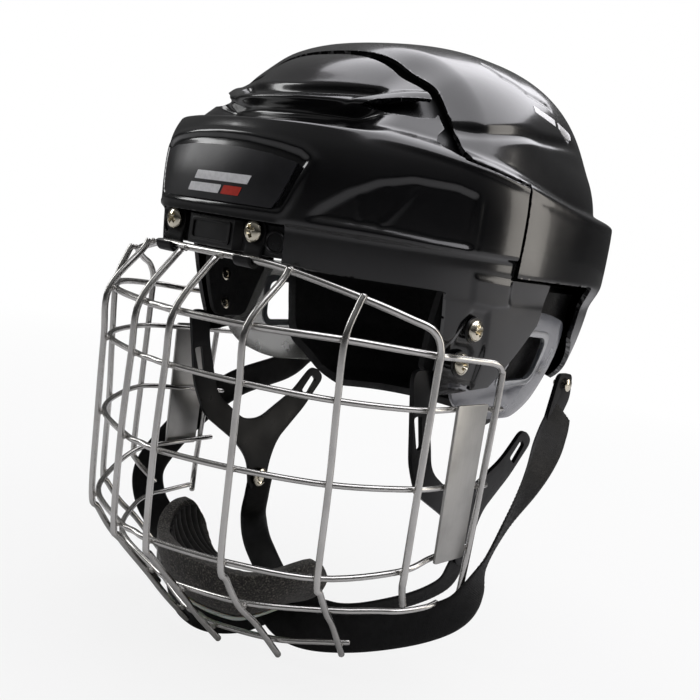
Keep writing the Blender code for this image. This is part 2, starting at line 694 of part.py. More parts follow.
def webbing():
    """Cage straps from the rear hooks to the cup, and the helmet's own chin strap."""
    out = SIDE_X + FRAME_RADIUS + WEB_WALL / 2 + 1.2
    left = [(99.3, 178.0, -78.0), (104.0, 164.0, -92.0), (out, 144.0, -107.0), (out, 124.0, -128.0),
            (out, 112.0, -146.0), (out, 104.0, -158.0), (104.6, 96.5, -172.0), (91.0, 87.0, -184.5),
            (70.0, 70.0, -196.0), (50.0, 58.0, -203.0)]
    across = [(0.2, 0.7, 0.7), (0.1, 0.7, 0.7), (0.0, 0.75, 0.65), (0.0, 0.85, 0.5), (0.0, 0.95, 0.3),
              (0.3, 0.9, 0.15), (0.45, 0.85, 0.15), (0.5, 0.85, 0.0), (0.5, 0.85, -0.1), (0.3, 0.95, -0.1)]
    ribbon("cage_strap_left", left, across, WEB_WIDTH, WEB_WALL, WEBBING, 3)
    right = [mirrored(p) for p in left[:9]]
    right += [(-50.0, 52.0, -204.5), (-30.0, 36.0, -209.0), (-10.0, 29.0, -211.5), (12.0, 29.5, -212.0)]
    back = [mirrored(p) for p in across[:9]]
    back += [(-0.4, 0.9, -0.2), (-0.3, 0.8, -0.45), (0.0, 0.8, -0.6), (0.1, 0.8, -0.6)]
    ribbon("cage_strap_right", right, back, WEB_WIDTH, WEB_WALL, WEBBING, 3)
    inner = [(-72.6, 126.0, -167.6), (-67.0, 121.0, -180.0), (-44.0, 108.0, -192.0), (-14.0, 104.0, -206.0),
             (20.0, 112.0, -207.0), (50.0, 128.0, -194.0), (67.0, 144.0, -180.0), (72.6, 149.0, -167.6)]
    turn = [(0.0, 1.0, -0.1), (0.1, 1.0, -0.2), (0.2, 1.0, -0.2), (0.0, 1.0, 0.0), (0.0, 1.0, 0.0), (-0.1, 1.0, -0.1),
            (0.0, 1.0, -0.1), (0.0, 1.0, -0.1)]
    ribbon("chin_strap", inner, turn, WEB_WIDTH - 2.0, WEB_WALL, WEBBING, 3)


def hooks_and_snaps():
    for name, side in (("left", 1.0), ("right", -1.0)):
        outline = rounded([(176.0, -52.0), (190.0, -52.0), (192.0, -66.0), (180.0, -86.0), (170.0, -80.0)], 4.0)
        hook = flat_outline("strap_hook_" + name, [outline], 2.4, CHARCOAL)
        in_side_view(hook, side, lambda y, z: 96.6)
        disc("hook_stud_" + name, (side * 99.2, 184.0, -58.0), (side, 0.0, 0.0), 3.6, 2.0, NICKEL, 0.8, 16)
        x, y, z = SNAP_PLACE[name]
        disc("snap_" + name, (x, y, z), (-side, 0.0, 0.0), 5.0, 2.6, NICKEL, 1.2, 20)


def hang_on(name, place, prefixes):
    """Parent the pieces to an empty that stands on their joint's axis, without moving them."""
    axis = bpy.data.objects.new(name, None)
    axis.location = Vector(place) * MM
    PARTS.objects.link(axis)
    for piece in PARTS.objects:
        if piece.type != "EMPTY" and piece.name.startswith(prefixes):
            piece.parent = axis
            piece.matrix_parent_inverse = Matrix.Translation(-axis.location)


def joints():
    """The cage turns in its clips, the rear half slides back, the chin strap swings on its snaps."""
    cage = ("frame_wire", "cross_wire", "chin_wire", "upright", "side_plate", "chin_cup", "cage_strap", "strap_hook")
    hang_on("cage_hinge_axis", (0.0, HINGE_Y, HINGE_Z), cage)
    hang_on("size_slide_axis", SHELL_CENTRE, ("rear_", "slide_strip", "crown_liner", "hook_stud"))
    middle = (Vector(SNAP_PLACE["left"]) + Vector(SNAP_PLACE["right"])) / 2
    hang_on("chin_strap_axis", middle, ("chin_strap",))


forehead_band()
badge_plate()
liners()
ear_pieces()
screws()
cage_clips()
uprights()
cage_wires()
side_plates()
chin_cup()
webbing()
hooks_and_snaps()
joints()
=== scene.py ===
"""Looks of an ice hockey helmet with a wire face cage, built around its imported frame.

The tables below are in millimetres on the frame's own axes, and MM turns them into metres.
+X is the wearer's left, the face looks along -Y, +Z is up.
"""

from math import cos, pi, radians, sin

import bmesh
import bpy
import numpy as np
from mathutils import Matrix, Vector, noise


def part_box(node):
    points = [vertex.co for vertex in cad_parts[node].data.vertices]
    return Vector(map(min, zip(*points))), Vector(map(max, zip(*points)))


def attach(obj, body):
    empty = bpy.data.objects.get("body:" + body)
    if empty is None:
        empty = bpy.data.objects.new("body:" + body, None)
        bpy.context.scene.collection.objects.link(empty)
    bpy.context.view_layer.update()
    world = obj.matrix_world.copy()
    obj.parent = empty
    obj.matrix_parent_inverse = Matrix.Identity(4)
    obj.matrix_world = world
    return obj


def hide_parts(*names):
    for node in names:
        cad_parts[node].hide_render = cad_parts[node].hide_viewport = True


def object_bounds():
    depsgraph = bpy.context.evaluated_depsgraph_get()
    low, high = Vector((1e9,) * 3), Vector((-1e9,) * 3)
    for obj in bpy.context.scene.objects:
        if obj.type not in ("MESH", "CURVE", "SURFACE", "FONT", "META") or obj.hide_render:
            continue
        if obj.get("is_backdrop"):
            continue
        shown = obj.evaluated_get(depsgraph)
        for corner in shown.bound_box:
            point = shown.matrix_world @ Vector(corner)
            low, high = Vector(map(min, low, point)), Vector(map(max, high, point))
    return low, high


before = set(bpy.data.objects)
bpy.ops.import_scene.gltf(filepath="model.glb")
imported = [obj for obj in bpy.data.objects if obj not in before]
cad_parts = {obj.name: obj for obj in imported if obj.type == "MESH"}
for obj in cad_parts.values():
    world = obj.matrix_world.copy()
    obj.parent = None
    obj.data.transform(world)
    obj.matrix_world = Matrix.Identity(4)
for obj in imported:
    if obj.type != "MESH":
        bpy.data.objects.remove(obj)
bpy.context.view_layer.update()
MM = 0.001
SIDES = (("left", 1.0), ("right", -1.0))

# ---- shell: a superellipsoid about its centre, nearly straight below it ----
CENTRE = (0.0, 136.6, 20.0)
HALF_WIDTH = 107.0
HALF_LENGTH = 138.6
REAR_LENGTH = 131.5
CROWN = 87.0
DEPTH = 150.0
POWER = 2.4
WALL = 2.5
BROW_BULGE = 3.4
SHELF_STEP = 19.0
TEMPLE_STEP = 5.0
REAR_STEP = 10.0
LOWER_STEP = 4.0
HOOD_HALF_WIDTH = 60.0
CROWN_FLAT = 5.2
CROWN_FULL = 3.8
BROW_EDGE_Z = 4.6
BROW_HALF_WIDTH = 44.0
SEAM_TOP_Y = 61.0
SEAM_BELT_Y = 100.0
SEAM_GAP = 2.0
CHANNEL_WIDTH = 5.0
STRIP_OVERLAP = 21.0
STRIP_INSET = 5.2
OPENING_Z = -14.0
SKIRT_FRONT = ((77.0, -64.0), (66.0, -22.0))
SKIRT_REAR = ((111.0, -64.0), (144.0, -13.0))
SKIRT_FOOT_Z = -64.0
EAR_TOP_Z = -13.0
BELT_FOOT_Z = -5.0
FRONT_TAIL_Y = 180.0
REAR_TAIL_Y = 184.0
LEG_FRONT = ((184.0, -32.0), (158.0, -13.0))
LEG_FOOT_Z = -62.0
FINE_GRID = (960, 380)
LOW_ELEVATION = -40.0

# ---- details of the front shell: outlines across x and z, or across y and z on the sides ----
HOOD_SLOT = [(-9.0, 72.4), (7.0, 72.6), (22.0, 73.3), (44.0, 74.4), (49.5, 73.2), (49.0, 70.2), (39.5, 67.8),
             (24.0, 66.4), (-9.0, 66.0)]
LIP_GROOVE = [(-9.0, 63.2), (8.0, 63.4), (20.0, 63.9), (44.0, 65.0), (33.0, 61.2), (20.0, 59.8), (-9.0, 59.2)]
THIN_GROOVE = [(-6.0, 55.8), (30.0, 56.2), (36.0, 55.8), (30.0, 54.6), (-6.0, 54.4)]
SIDE_VENT = [(44.5, 63.4), (50.0, 66.6), (60.0, 69.0), (68.0, 70.6), (71.8, 69.2), (73.8, 62.6), (69.7, 61.2),
             (58.5, 61.2)]
NOTCH = [(53.0, 49.6), (56.0, 54.6), (61.0, 58.4), (70.0, 58.0), (70.0, 44.0), (60.0, 46.4)]
BADGE_RECESS = [(-6.0, 41.6), (18.0, 40.9), (36.0, 39.0), (45.5, 37.2), (50.0, 34.2), (47.5, 27.0),
                (44.6, 18.0), (41.8, 10.4), (-6.0, 9.8)]
ARCH = [(8.2, 8.8), (11.0, 14.6), (17.5, 22.8), (25.8, 29.2), (38.0, 33.2), (57.7, 33.4), (68.5, 31.2),
        (69.5, 6.8), (52.0, 7.0), (28.0, 8.6)]
ARCH_RIBS = [((21.0, 21.5), (22.4, 8.6)), ((29.0, 27.0), (29.4, 8.6)), ((40.8, 29.6), (28.2, 8.8))]
SKIRT_STRIP = [(82.0, -20.0), (93.5, -20.5), (99.5, -40.0), (102.0, -61.0), (76.0, -61.0), (73.5, -42.0)]
SKIRT_BLOCK = [(74.0, -4.0), (102.0, -5.0), (108.0, -18.0), (96.0, -19.0), (80.0, -18.0)]
SKIRT_SLOT = [(85.5, -58.5), (100.5, -59.3), (101.0, -61.6), (86.0, -60.8)]


def smooth(low, high, value):
    t = np.clip((value - low) / (high - low), 0.0, 1.0)
    return t * t * (3.0 - 2.0 * t)


def side_of(line, y, z):
    """Signed distance in the side view: positive to the left of the line's direction."""
    (y0, z0), (y1, z1) = line
    dy, dz = y1 - y0, z1 - z0
    return (dy * (z - z0) - dz * (y - y0)) / np.hypot(dy, dz)


def off_line(line, a, b):
    """Distance of the points (a, b) from a straight stretch."""
    (a0, b0), (a1, b1) = line
    da, db = a1 - a0, b1 - b0
    t = np.clip(((a - a0) * da + (b - b0) * db) / (da * da + db * db), 0.0, 1.0)
    return np.hypot(a - a0 - t * da, b - b0 - t * db)


def inside(outline, a, b):
    """Signed distance of the points (a, b) from a closed outline, positive inside."""
    nearest = np.full(np.shape(a), 1e9)
    within = np.zeros(np.shape(a), bool)
    for (a0, b0), (a1, b1) in zip(outline, outline[1:] + outline[:1]):
        nearest = np.minimum(nearest, off_line(((a0, b0), (a1, b1)), a, b))
        if b1 != b0:
            within ^= ((b0 > b) != (b1 > b)) & (a < (a1 - a0) * (b - b0) / (b1 - b0) + a0)
    return np.where(within, nearest, -nearest)


def ridge_height(y):
    """Height of the edge between the crown and the upright belt."""
    return 50.0 - 19.5 * smooth(0.0, 190.0, y)


def relief(x, y, z):
    """How far the surface steps in: the shelf under the hood, the crown behind the belt, the lower edge."""
    height = z - ridge_height(y)
    backward = smooth(60.0, 180.0, y)
    middle = smooth(HOOD_HALF_WIDTH + 12.0, HOOD_HALF_WIDTH - 12.0, abs(x)) * smooth(110.0, 60.0, y)
    shelf = SHELF_STEP * smooth(0.0, 7.0, height) * (1.0 - 0.5 * smooth(15.0, 22.0, height))
    shelf = shelf * (1.0 - smooth(28.0, 55.0, height))
    temple = TEMPLE_STEP * smooth(0.0, 9.0, height) * (1.0 - smooth(12.0, 50.0, height))
    rear = REAR_STEP * smooth(0.0, 9.0, height) * (1.15 - 1.35 * smooth(30.0, 80.0, height))
    front = shelf * middle + temple * (1.0 - middle)
    lower = LOWER_STEP * smooth(-1.0, -18.0, z) * smooth(40.0, 80.0, y)
    flat = CROWN_FLAT * smooth(40.0, 75.0, z) * smooth(80.0, 56.0, y)
    full = CROWN_FULL * smooth(50.0, 104.0, z) * smooth(64.0, 128.0, y) * smooth(215.0, 142.0, y)
    return front * (1.0 - backward) + rear * backward + lower + flat - full


def softened(depth):
    """The depths on a grid of rows and closed columns, averaged with their neighbours."""
    for _ in range(2):
        wide = np.pad(depth, ((1, 1), (0, 0)), "edge")
        depth = (wide[:-2] + 2.0 * depth + wide[2:]) / 4.0
        depth = (np.roll(depth, 1, axis=1) + 2.0 * depth + np.roll(depth, -1, axis=1)) / 4.0
    return depth


def shell_points(azimuth, elevation, inset=0.0, carving=None):
    """Points of the outer surface, moved inward along the rays from the centre by inset and carving."""
    ray = (np.sin(azimuth) * np.cos(elevation), -np.cos(azimuth) * np.cos(elevation), np.sin(elevation))
    length = np.where(ray[1] < 0.0, HALF_LENGTH, REAR_LENGTH)
    height = np.where(ray[2] > 0.0, CROWN, DEPTH)
    total = abs(ray[0] / HALF_WIDTH) ** POWER + abs(ray[1] / length) ** POWER + abs(ray[2] / height) ** POWER
    reach = total ** (-1.0 / POWER)
    x, y, z = (middle + part * reach for middle, part in zip(CENTRE, ray))
    y = y - BROW_BULGE * smooth(62.0, 30.0, abs(x)) * smooth(60.0, 20.0, y) * smooth(58.0, 20.0, z)
    depth = inset + relief(x, y, z)
    x, y, z = x - ray[0] * depth, y - ray[1] * depth, z - ray[2] * depth
    if carving:
        depth = softened(carving(x, y, z))
        x, y, z = x - ray[0] * depth, y - ray[1] * depth, z - ray[2] * depth
    return x, y, z


def front_carving(x, y, z):
    """Slots, grooves and recesses of the front shell, as depths below its plain surface."""
    s = abs(x)
    brow = smooth(75.0, 68.0, y)
    side = smooth(40.0, 46.0, s)
    depth = 3.6 * smooth(-0.8, 3.2, inside(HOOD_SLOT, s, z)) * brow
    depth += 1.5 * smooth(-0.8, 2.1, inside(LIP_GROOVE, s, z)) * brow
    depth += 0.8 * smooth(-0.8, 0.7, inside(THIN_GROOVE, s, z)) * brow
    badge = inside(BADGE_RECESS, s, z)
    facing = smooth(60.0, 30.0, y)
    depth += 1.5 * smooth(-0.2, 1.6, badge) * facing
    depth -= 0.8 * smooth(1.8, 0.4, abs(badge + 1.2)) * facing * smooth(6.0, 14.0, z)
    arch = inside(ARCH, y, z)
    depth += 1.5 * smooth(-0.2, 1.5, arch) * side
    for rib in ARCH_RIBS:
        depth -= 0.45 * smooth(1.0, 0.2, off_line(rib, y, z)) * smooth(1.5, 3.0, arch) * side
    vent = inside(SIDE_VENT, s, z)
    depth -= 1.6 * smooth(4.5, 1.4, abs(vent + 1.4)) * smooth(62.0, 67.0, z) * brow
    depth += 0.35 * smooth(0.8, 0.2, abs(y - 72.5)) * smooth(5.0, 8.0, z) * smooth(30.0, 27.0, z) * side
    lower = smooth(5.8, 3.2, z) * side * (1.0 - smooth(-1.0, -18.0, z) * smooth(40.0, 80.0, y))
    depth += 2.4 * lower
    depth += 1.3 * smooth(-0.6, 2.4, inside(SKIRT_STRIP, y, z)) * side
    depth -= 1.2 * smooth(0.0, 2.2, inside(SKIRT_BLOCK, y, z)) * side
    ridge = ridge_height(y) - z
    return depth - 0.7 * smooth(2.2, 0.6, abs(ridge - 1.2)) * smooth(20.0, 45.0, y)


def rear_carving(x, y, z):
    """Creases and slits of the rear shell."""
    s = abs(x)
    crease = 59.0 + 7.0 * smooth(64.0, 120.0, y) + 3.5 * smooth(120.0, 175.0, y)
    depth = 1.6 * smooth(4.0, 0.5, abs(z - crease)) * smooth(190.0, 150.0, y) * smooth(60.0, 70.0, s)
    lines = [((58.7, 109.5), (68.4, 112.9)), ((68.4, 112.9), (75.0, 128.0)), ((75.0, 128.0), (76.5, 150.0))]
    upper = smooth(78.0, 82.0, z)
    for line in lines:
        depth += 1.0 * smooth(0.9, 0.2, off_line(line, s, y)) * upper
    slit = off_line(((157.0, 76.6), (167.0, 73.2)), y, z)
    depth += 2.4 * smooth(1.4, 0.6, slit) * smooth(60.0, 70.0, s)
    ridge = ridge_height(y) - z
    depth += 0.6 * smooth(0.8, 0.2, abs(ridge - 3.2)) * smooth(92.0, 96.0, s)
    tail = smooth(150.0, 190.0, y) * smooth(50.0, 38.0, s)
    depth += 2.2 * smooth(4.0, 0.0, abs(z - 62.0) - 5.0) * tail
    return depth + 2.2 * smooth(4.0, 0.0, abs(z - 6.0) - 6.0) * tail


def keep_front(x, y, z):
    """Positive where the front shell has material."""
    s = abs(x)
    ridge = ridge_height(y)
    ahead = np.maximum(SEAM_TOP_Y - y, np.minimum(SEAM_BELT_Y - y, ridge - z))
    brow = np.maximum(z - BROW_EDGE_Z, np.where(y < CENTRE[1], s - BROW_HALF_WIDTH, -1.0))
    skirt = np.minimum(np.minimum(-side_of(SKIRT_FRONT, y, z), side_of(SKIRT_REAR, y, z)), z - SKIRT_FOOT_Z)
    edge = np.maximum(z - OPENING_Z, skirt)
    low = np.maximum(ahead, np.minimum(FRONT_TAIL_Y - y, BELT_FOOT_Z - z))
    ahead = np.where(z < 0.0, low, ahead)
    kept = np.minimum(np.minimum(ahead, brow), edge)
    kept = np.where(y < 75.0, np.minimum(kept, -inside(SIDE_VENT, s, z)), kept)
    kept = np.where(s > 70.0, np.minimum(kept, -inside(NOTCH, y, z)), kept)
    return np.where(s > 70.0, np.minimum(kept, -inside(SKIRT_SLOT, y, z)), kept)


def keep_rear(x, y, z):
    """Positive where the rear shell has material."""
    ridge = ridge_height(y)
    belt = np.minimum(SEAM_BELT_Y + SEAM_GAP - y, ridge + SEAM_GAP - z)
    behind = -np.maximum(SEAM_TOP_Y + CHANNEL_WIDTH - y, belt)
    leg = np.minimum(np.minimum(-side_of(LEG_FRONT, y, z), y - LEG_FRONT[0][0]), z - LEG_FOOT_Z)
    upper = np.where(y < REAR_TAIL_Y, z - SEAM_GAP - BELT_FOOT_Z, z - EAR_TOP_Z)
    return np.minimum(behind, np.maximum(upper, leg))


def keep_strip(x, y, z):
    """Positive where the sliding strip under the joint line has material."""
    ridge = ridge_height(y)
    top = np.minimum(STRIP_OVERLAP - abs(y - SEAM_TOP_Y - 4.0), z - ridge + 3.0)
    belt = np.minimum(np.minimum(STRIP_OVERLAP - abs(y - SEAM_BELT_Y - 4.0), ridge + 3.0 - z), z - 6.0)
    return np.maximum(top, belt)


# ---------------------------------------------------------------- mesh helpers
def finish_mesh(name, bm, mat, body, slot, *nodes, sharp=38.0):
    """Turn a bmesh in millimetres into a piece that rides on a body and stands for its CAD nodes."""
    bmesh.ops.scale(bm, vec=(MM, MM, MM), verts=bm.verts)
    obj = loose_object(name, bm)
    obj.data.materials.append(mat)
    obj.data.shade_smooth()
    obj.data.set_sharp_from_angle(angle=radians(sharp))
    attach(obj, body)
    if nodes:
        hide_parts(*nodes)


def skin(node, bm, mat, body, slot, sharp=38.0):
    """A piece named after the one CAD node that it stands for."""
    finish_mesh(node + "_skin", bm, mat, body, slot, node, sharp=sharp)


def loose_object(name, bm):
    """An object with the bmesh as its mesh."""
    mesh = bpy.data.meshes.new(name)
    bm.to_mesh(mesh)
    bm.free()
    return linked(bpy.data.objects.new(name, mesh))


def linked(obj):
    bpy.context.scene.collection.objects.link(obj)
    return obj


def as_bmesh(obj):
    """The mesh that a temporary object makes with its modifiers or its bevel; the object goes."""
    depsgraph = bpy.context.evaluated_depsgraph_get()
    mesh = bpy.data.meshes.new_from_object(obj.evaluated_get(depsgraph))
    bpy.data.objects.remove(obj, do_unlink=True)
    bm = bmesh.new()
    bm.from_mesh(mesh)
    bpy.data.meshes.remove(mesh)
    return bm


def thicken(bm, wall, edge, offset=-1.0, angle=55.0):
    """Give an open sheet its wall and round its rim; returns a new bmesh."""
    obj = loose_object("sheet", bm)
    mod = obj.modifiers.new("wall", "SOLIDIFY")
    mod.thickness = wall
    mod.offset = offset
    mod.use_even_offset = True
    out = as_bmesh(obj)
    if edge:
        round_edges(out, edge, angle)
    return out


def round_edges(bm, width, angle, segments=2):
    """Bevel every edge sharper than the angle."""
    sharp = [e for e in bm.edges if len(e.link_faces) == 2 and e.calc_face_angle(0.0) > radians(angle)]
    bmesh.ops.bevel(bm, geom=sharp, offset=width, segments=segments, profile=0.6, affect="EDGES",
                    clamp_overlap=True)


def cut_at_zero(bm, field):
    """Split the faces along the zero line of the field and drop the negative side."""
    near = 0.08
    on_line = {v for v, value in field.items() if abs(value) < 1e-9}
    for edge in list(bm.edges):
        a, b = edge.verts
        fa, fb = field[a], field[b]
        if fa * fb >= 0.0:
            continue
        t = fa / (fa - fb)
        if t < near:
            on_line.add(a)
            a.co = a.co.lerp(b.co, t)
            field[a] = 0.0
        elif t > 1.0 - near:
            on_line.add(b)
            b.co = a.co.lerp(b.co, t)
            field[b] = 0.0
        else:
            _, vert = bmesh.utils.edge_split(edge, a, t)
            field[vert] = 0.0
            on_line.add(vert)
    for face in list(bm.faces):
        cuts = [v for v in face.verts if v in on_line]
        if len(cuts) == 2:
            i, j = sorted(list(face.verts).index(v) for v in cuts)
            if j - i not in (1, len(face.verts) - 1):
                bmesh.utils.face_split(face, cuts[0], cuts[1])
    gone = [f for f in bm.faces if sum(field[v] for v in f.verts) <= 0.0]
    bmesh.ops.delete(bm, geom=gone, context="FACES")
    keep_largest_piece(bm)


def keep_largest_piece(bm):
    """Drop crumbs that the cut may leave beside the main sheet."""
    left = set(bm.faces)
    pieces = []
    while left:
        stack = [left.pop()]
        piece = set(stack)
        while stack:
            for edge in stack.pop().edges:
                for other in edge.link_faces:
                    if other in left:
                        left.remove(other)
                        piece.add(other)
                        stack.append(other)
        pieces.append(piece)
    pieces.sort(key=len)
    crumbs = [face for piece in pieces[:-1] for face in piece]
    bmesh.ops.delete(bm, geom=crumbs, context="FACES")
    bmesh.ops.delete(bm, geom=[v for v in bm.verts if not v.link_faces], context="VERTS")


def shell_sheet(keep, inset, carving, columns, rows, low=LOW_ELEVATION):
    """The part of the shell surface where keep is positive, as a bmesh in millimetres."""
    azimuth = np.radians(np.arange(columns) * 360.0 / columns)
    elevation = np.radians(low + (90.0 - low) * np.arange(rows + 1) / rows)
    around, up = np.meshgrid(azimuth, elevation)
    points = np.stack(shell_points(around, up, inset, carving), axis=-1)
    values = keep(*shell_points(around, up))
    bm = bmesh.new()
    made = {}
    field = {}

    def vertex(j, i):
        key = (j, 0 if j == rows else i)
        if key not in made:
            vert = bm.verts.new(points[key])
            made[key] = vert
            field[vert] = float(values[key])
        return made[key]

    high = np.maximum(values, np.roll(values, -1, axis=1))
    wanted = np.maximum(high[:-1], high[1:]) > 0.0
    for j, i in zip(*np.nonzero(wanted)):
        k = (i + 1) % columns
        corners = [vertex(j, i), vertex(j, k), vertex(j + 1, k)]
        if j + 1 < rows:
            corners.append(vertex(j + 1, i))
        bm.faces.new(corners)
    cut_at_zero(bm, field)
    return bm


def spline_points(points, per_span):
    """Smooth curve through the points (Catmull-Rom)."""
    knots = [Vector(p) for p in points]
    ends = [knots[0] * 2 - knots[1]] + knots + [knots[-1] * 2 - knots[-2]]
    out = []
    for i in range(1, len(ends) - 2):
        p0, p1, p2, p3 = ends[i - 1:i + 3]
        for k in range(per_span):
            t = k / per_span
            a = (p1 * 2) + (p2 - p0) * t
            b = (p0 * 2 - p1 * 5 + p2 * 4 - p3) * (t * t)
            c = (p1 * 3 - p0 - p2 * 3 + p3) * (t * t * t)
            out.append((a + b + c) * 0.5)
    out.append(knots[-1])
    return out


def rounded(corners, radius, steps=6):
    """A closed polygon with every corner rounded."""
    out = []
    count = len(corners)
    for i in range(count):
        here = Vector(corners[i])
        before = Vector(corners[i - 1]) - here
        after = Vector(corners[(i + 1) % count]) - here
        reach = min(radius, before.length * 0.45, after.length * 0.45)
        start = here + before.normalized() * reach
        end = here + after.normalized() * reach
        for k in range(steps + 1):
            t = k / steps
            point = start.lerp(here, t).lerp(here.lerp(end, t), t)
            out.append((point.x, point.y))
    return out


def polylines(lines, dimensions, closed):
    """A curve of straight stretches; each line is a list of (x, y, z, radius)."""
    curve = bpy.data.curves.new("lines", "CURVE")
    curve.dimensions = dimensions
    for points in lines:
        line = curve.splines.new("POLY")
        line.points.add(len(points) - 1)
        for knot, (x, y, z, radius) in zip(line.points, points):
            knot.co = (x, y, z, 1.0)
            knot.radius = radius
        line.use_cyclic_u = closed
    return curve


def plate_mesh(outlines, thickness, edge, segments=2):
    """A plate in the XY plane with rounded rims; inner outlines are holes. Returns a bmesh in millimetres."""
    curve = polylines([[(u, v, 0.0, 1.0) for u, v in outline] for outline in outlines], "2D", True)
    curve.fill_mode = "BOTH"
    curve.extrude = thickness / 2
    bm = as_bmesh(linked(bpy.data.objects.new("plate", curve)))
    bmesh.ops.remove_doubles(bm, verts=bm.verts, dist=1e-4)
    bmesh.ops.dissolve_limit(bm, angle_limit=radians(1.0), verts=bm.verts, edges=bm.edges)
    if edge:
        round_edges(bm, edge, 60.0, segments)
    return bm


def divide_long_edges(bm, longest):
    """Triangulate and split until no edge is longer than asked, so that a flat plate can be bent."""
    bmesh.ops.triangulate(bm, faces=bm.faces)
    for _ in range(6):
        long_edges = [e for e in bm.edges if e.calc_length() > longest]
        if not long_edges:
            break
        bmesh.ops.subdivide_edges(bm, edges=long_edges, cuts=1)
        bmesh.ops.triangulate(bm, faces=bm.faces)


def bend(bm, rule):
    for vert in bm.verts:
        vert.co = rule(vert.co)
    return bm


def clip_place(side):
    """The x of a clip's middle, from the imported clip."""
    low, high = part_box("cage_clip_" + side)
    return (low.x + high.x) / 2 / MM


def place(bm, centre, axis, spin=0.0):
    """Turn a shape made about Z so that Z points along the axis, and put it at the centre."""
    turn = Vector((0.0, 0.0, 1.0)).rotation_difference(Vector(axis)).to_matrix().to_4x4()
    around = Matrix.Rotation(spin, 4, "Z")
    bmesh.ops.transform(bm, matrix=Matrix.Translation(Vector(centre)) @ turn @ around, verts=bm.verts)
    return bm


def turned(profile, sides=40):
    """A round shape from (radius, height) points, about Z."""
    bm = bmesh.new()
    rings = []
    for radius, height in profile:
        count = sides if radius > 1e-6 else 1
        turns = [2 * pi * k / sides for k in range(count)]
        rings.append([bm.verts.new((radius * cos(turn), radius * sin(turn), height)) for turn in turns])
    for low, high in zip(rings, rings[1:]):
        for k in range(sides):
            n = (k + 1) % sides
            corners = [low[k % len(low)], low[n % len(low)], high[n % len(high)], high[k % len(high)]]
            unique = list(dict.fromkeys(corners))
            if len(unique) > 2:
                bm.faces.new(unique)
    bmesh.ops.recalc_face_normals(bm, faces=bm.faces)
    return bm


def grid_sheet(surface, columns, rows):
    """An open sheet from surface(i/columns, j/rows), as a bmesh in millimetres."""
    bm = bmesh.new()
    lattice = []
    for j in range(rows + 1):
        lattice.append([bm.verts.new(surface(i / columns, j / rows)) for i in range(columns + 1)])
    for low, high in zip(lattice, lattice[1:]):
        for i in range(columns):
            bm.faces.new((low[i], low[i + 1], high[i + 1], high[i]))
    return bm


# ---------------------------------------------------------------- materials
def add_node(tree, kind, **inputs):
    """A shader node with some of its inputs set; names have _ for a space."""
    node = tree.nodes.new("ShaderNode" + kind)
    for key, value in inputs.items():
        node.inputs[key.replace("_", " ")].default_value = value
    return node


class Look:
    """A Principled material with short helpers for its procedural nodes. Coordinates are metres at rest."""

    def __init__(self, name, colour, roughness, metallic=0.0, **values):
        self.mat = bpy.data.materials.new(name)
        self.mat.use_nodes = True
        self.tree = self.mat.node_tree
        self.shader = self.tree.nodes["Principled BSDF"]
        values.update(Base_Color=(*colour, 1.0), Roughness=roughness, Metallic=metallic)
        for key, value in values.items():
            self.shader.inputs[key.replace("_", " ")].default_value = value
        self.height = None

    def coordinates(self, stretch=(1.0, 1.0, 1.0), source="Object"):
        where = add_node(self.tree, "TexCoord")
        mapping = add_node(self.tree, "Mapping", Scale=stretch)
        self.tree.links.new(where.outputs[source], mapping.inputs["Vector"])
        return mapping.outputs["Vector"]

    def noise(self, scale, detail=3.0, stretch=(1.0, 1.0, 1.0)):
        node = add_node(self.tree, "TexNoise", Scale=scale, Detail=detail)
        self.tree.links.new(self.coordinates(stretch), node.inputs["Vector"])
        return node.outputs["Fac"]

    def cells(self, scale):
        node = add_node(self.tree, "TexVoronoi", Scale=scale)
        self.tree.links.new(self.coordinates(), node.inputs["Vector"])
        return node.outputs["Distance"]

    def vary(self, key, socket, *stops):
        """Drive an input of the shader by a pattern, through a ramp of (place, value) stops."""
        node = add_node(self.tree, "ValToRGB")
        ends = node.color_ramp.elements
        while len(ends) < len(stops):
            ends.new(0.5)
        for end, (place, value) in zip(ends, stops):
            end.position = place
            end.color = (*value, 1.0) if isinstance(value, tuple) else (value, value, value, 1.0)
        self.tree.links.new(socket, node.inputs["Fac"])
        self.tree.links.new(node.outputs["Color"], self.shader.inputs[key])

    def bump(self, socket, distance, strength=1.0):
        node = add_node(self.tree, "Bump", Distance=distance, Strength=strength)
        self.tree.links.new(socket, node.inputs["Height"])
        if self.height:
            self.tree.links.new(self.height, node.inputs["Normal"])
        self.height = node.outputs["Normal"]
        self.tree.links.new(self.height, self.shader.inputs["Normal"])
        return self


def gloss_black():
    look = Look("gloss_black_shell", (0.004, 0.004, 0.0046), 0.12, Coat_Weight=0.25, Coat_Roughness=0.06)
    look.vary("Roughness", look.noise(26.0, 6.0), (0.35, 0.15), (0.7, 0.24))
    look.bump(look.noise(160.0, 2.0), 0.00005, 0.35)
    return look.bump(look.noise(900.0, 2.0, (1.0, 0.25, 1.0)), 0.00001, 0.4).mat


def moulded(name, colour, low, high, grain=1400.0, shine=0.5):
    """Moulded plastic with fine grain and uneven shine."""
    look = Look(name, colour, low, Specular_IOR_Level=shine)
    look.vary("Roughness", look.noise(60.0, 5.0), (0.3, low), (0.75, high))
    shade = tuple(part * 1.9 + 0.004 for part in colour)
    look.vary("Base Color", look.noise(35.0, 4.0), (0.35, colour), (0.85, shade))
    return look.bump(look.noise(grain, 2.0), 0.00004, 0.5).mat


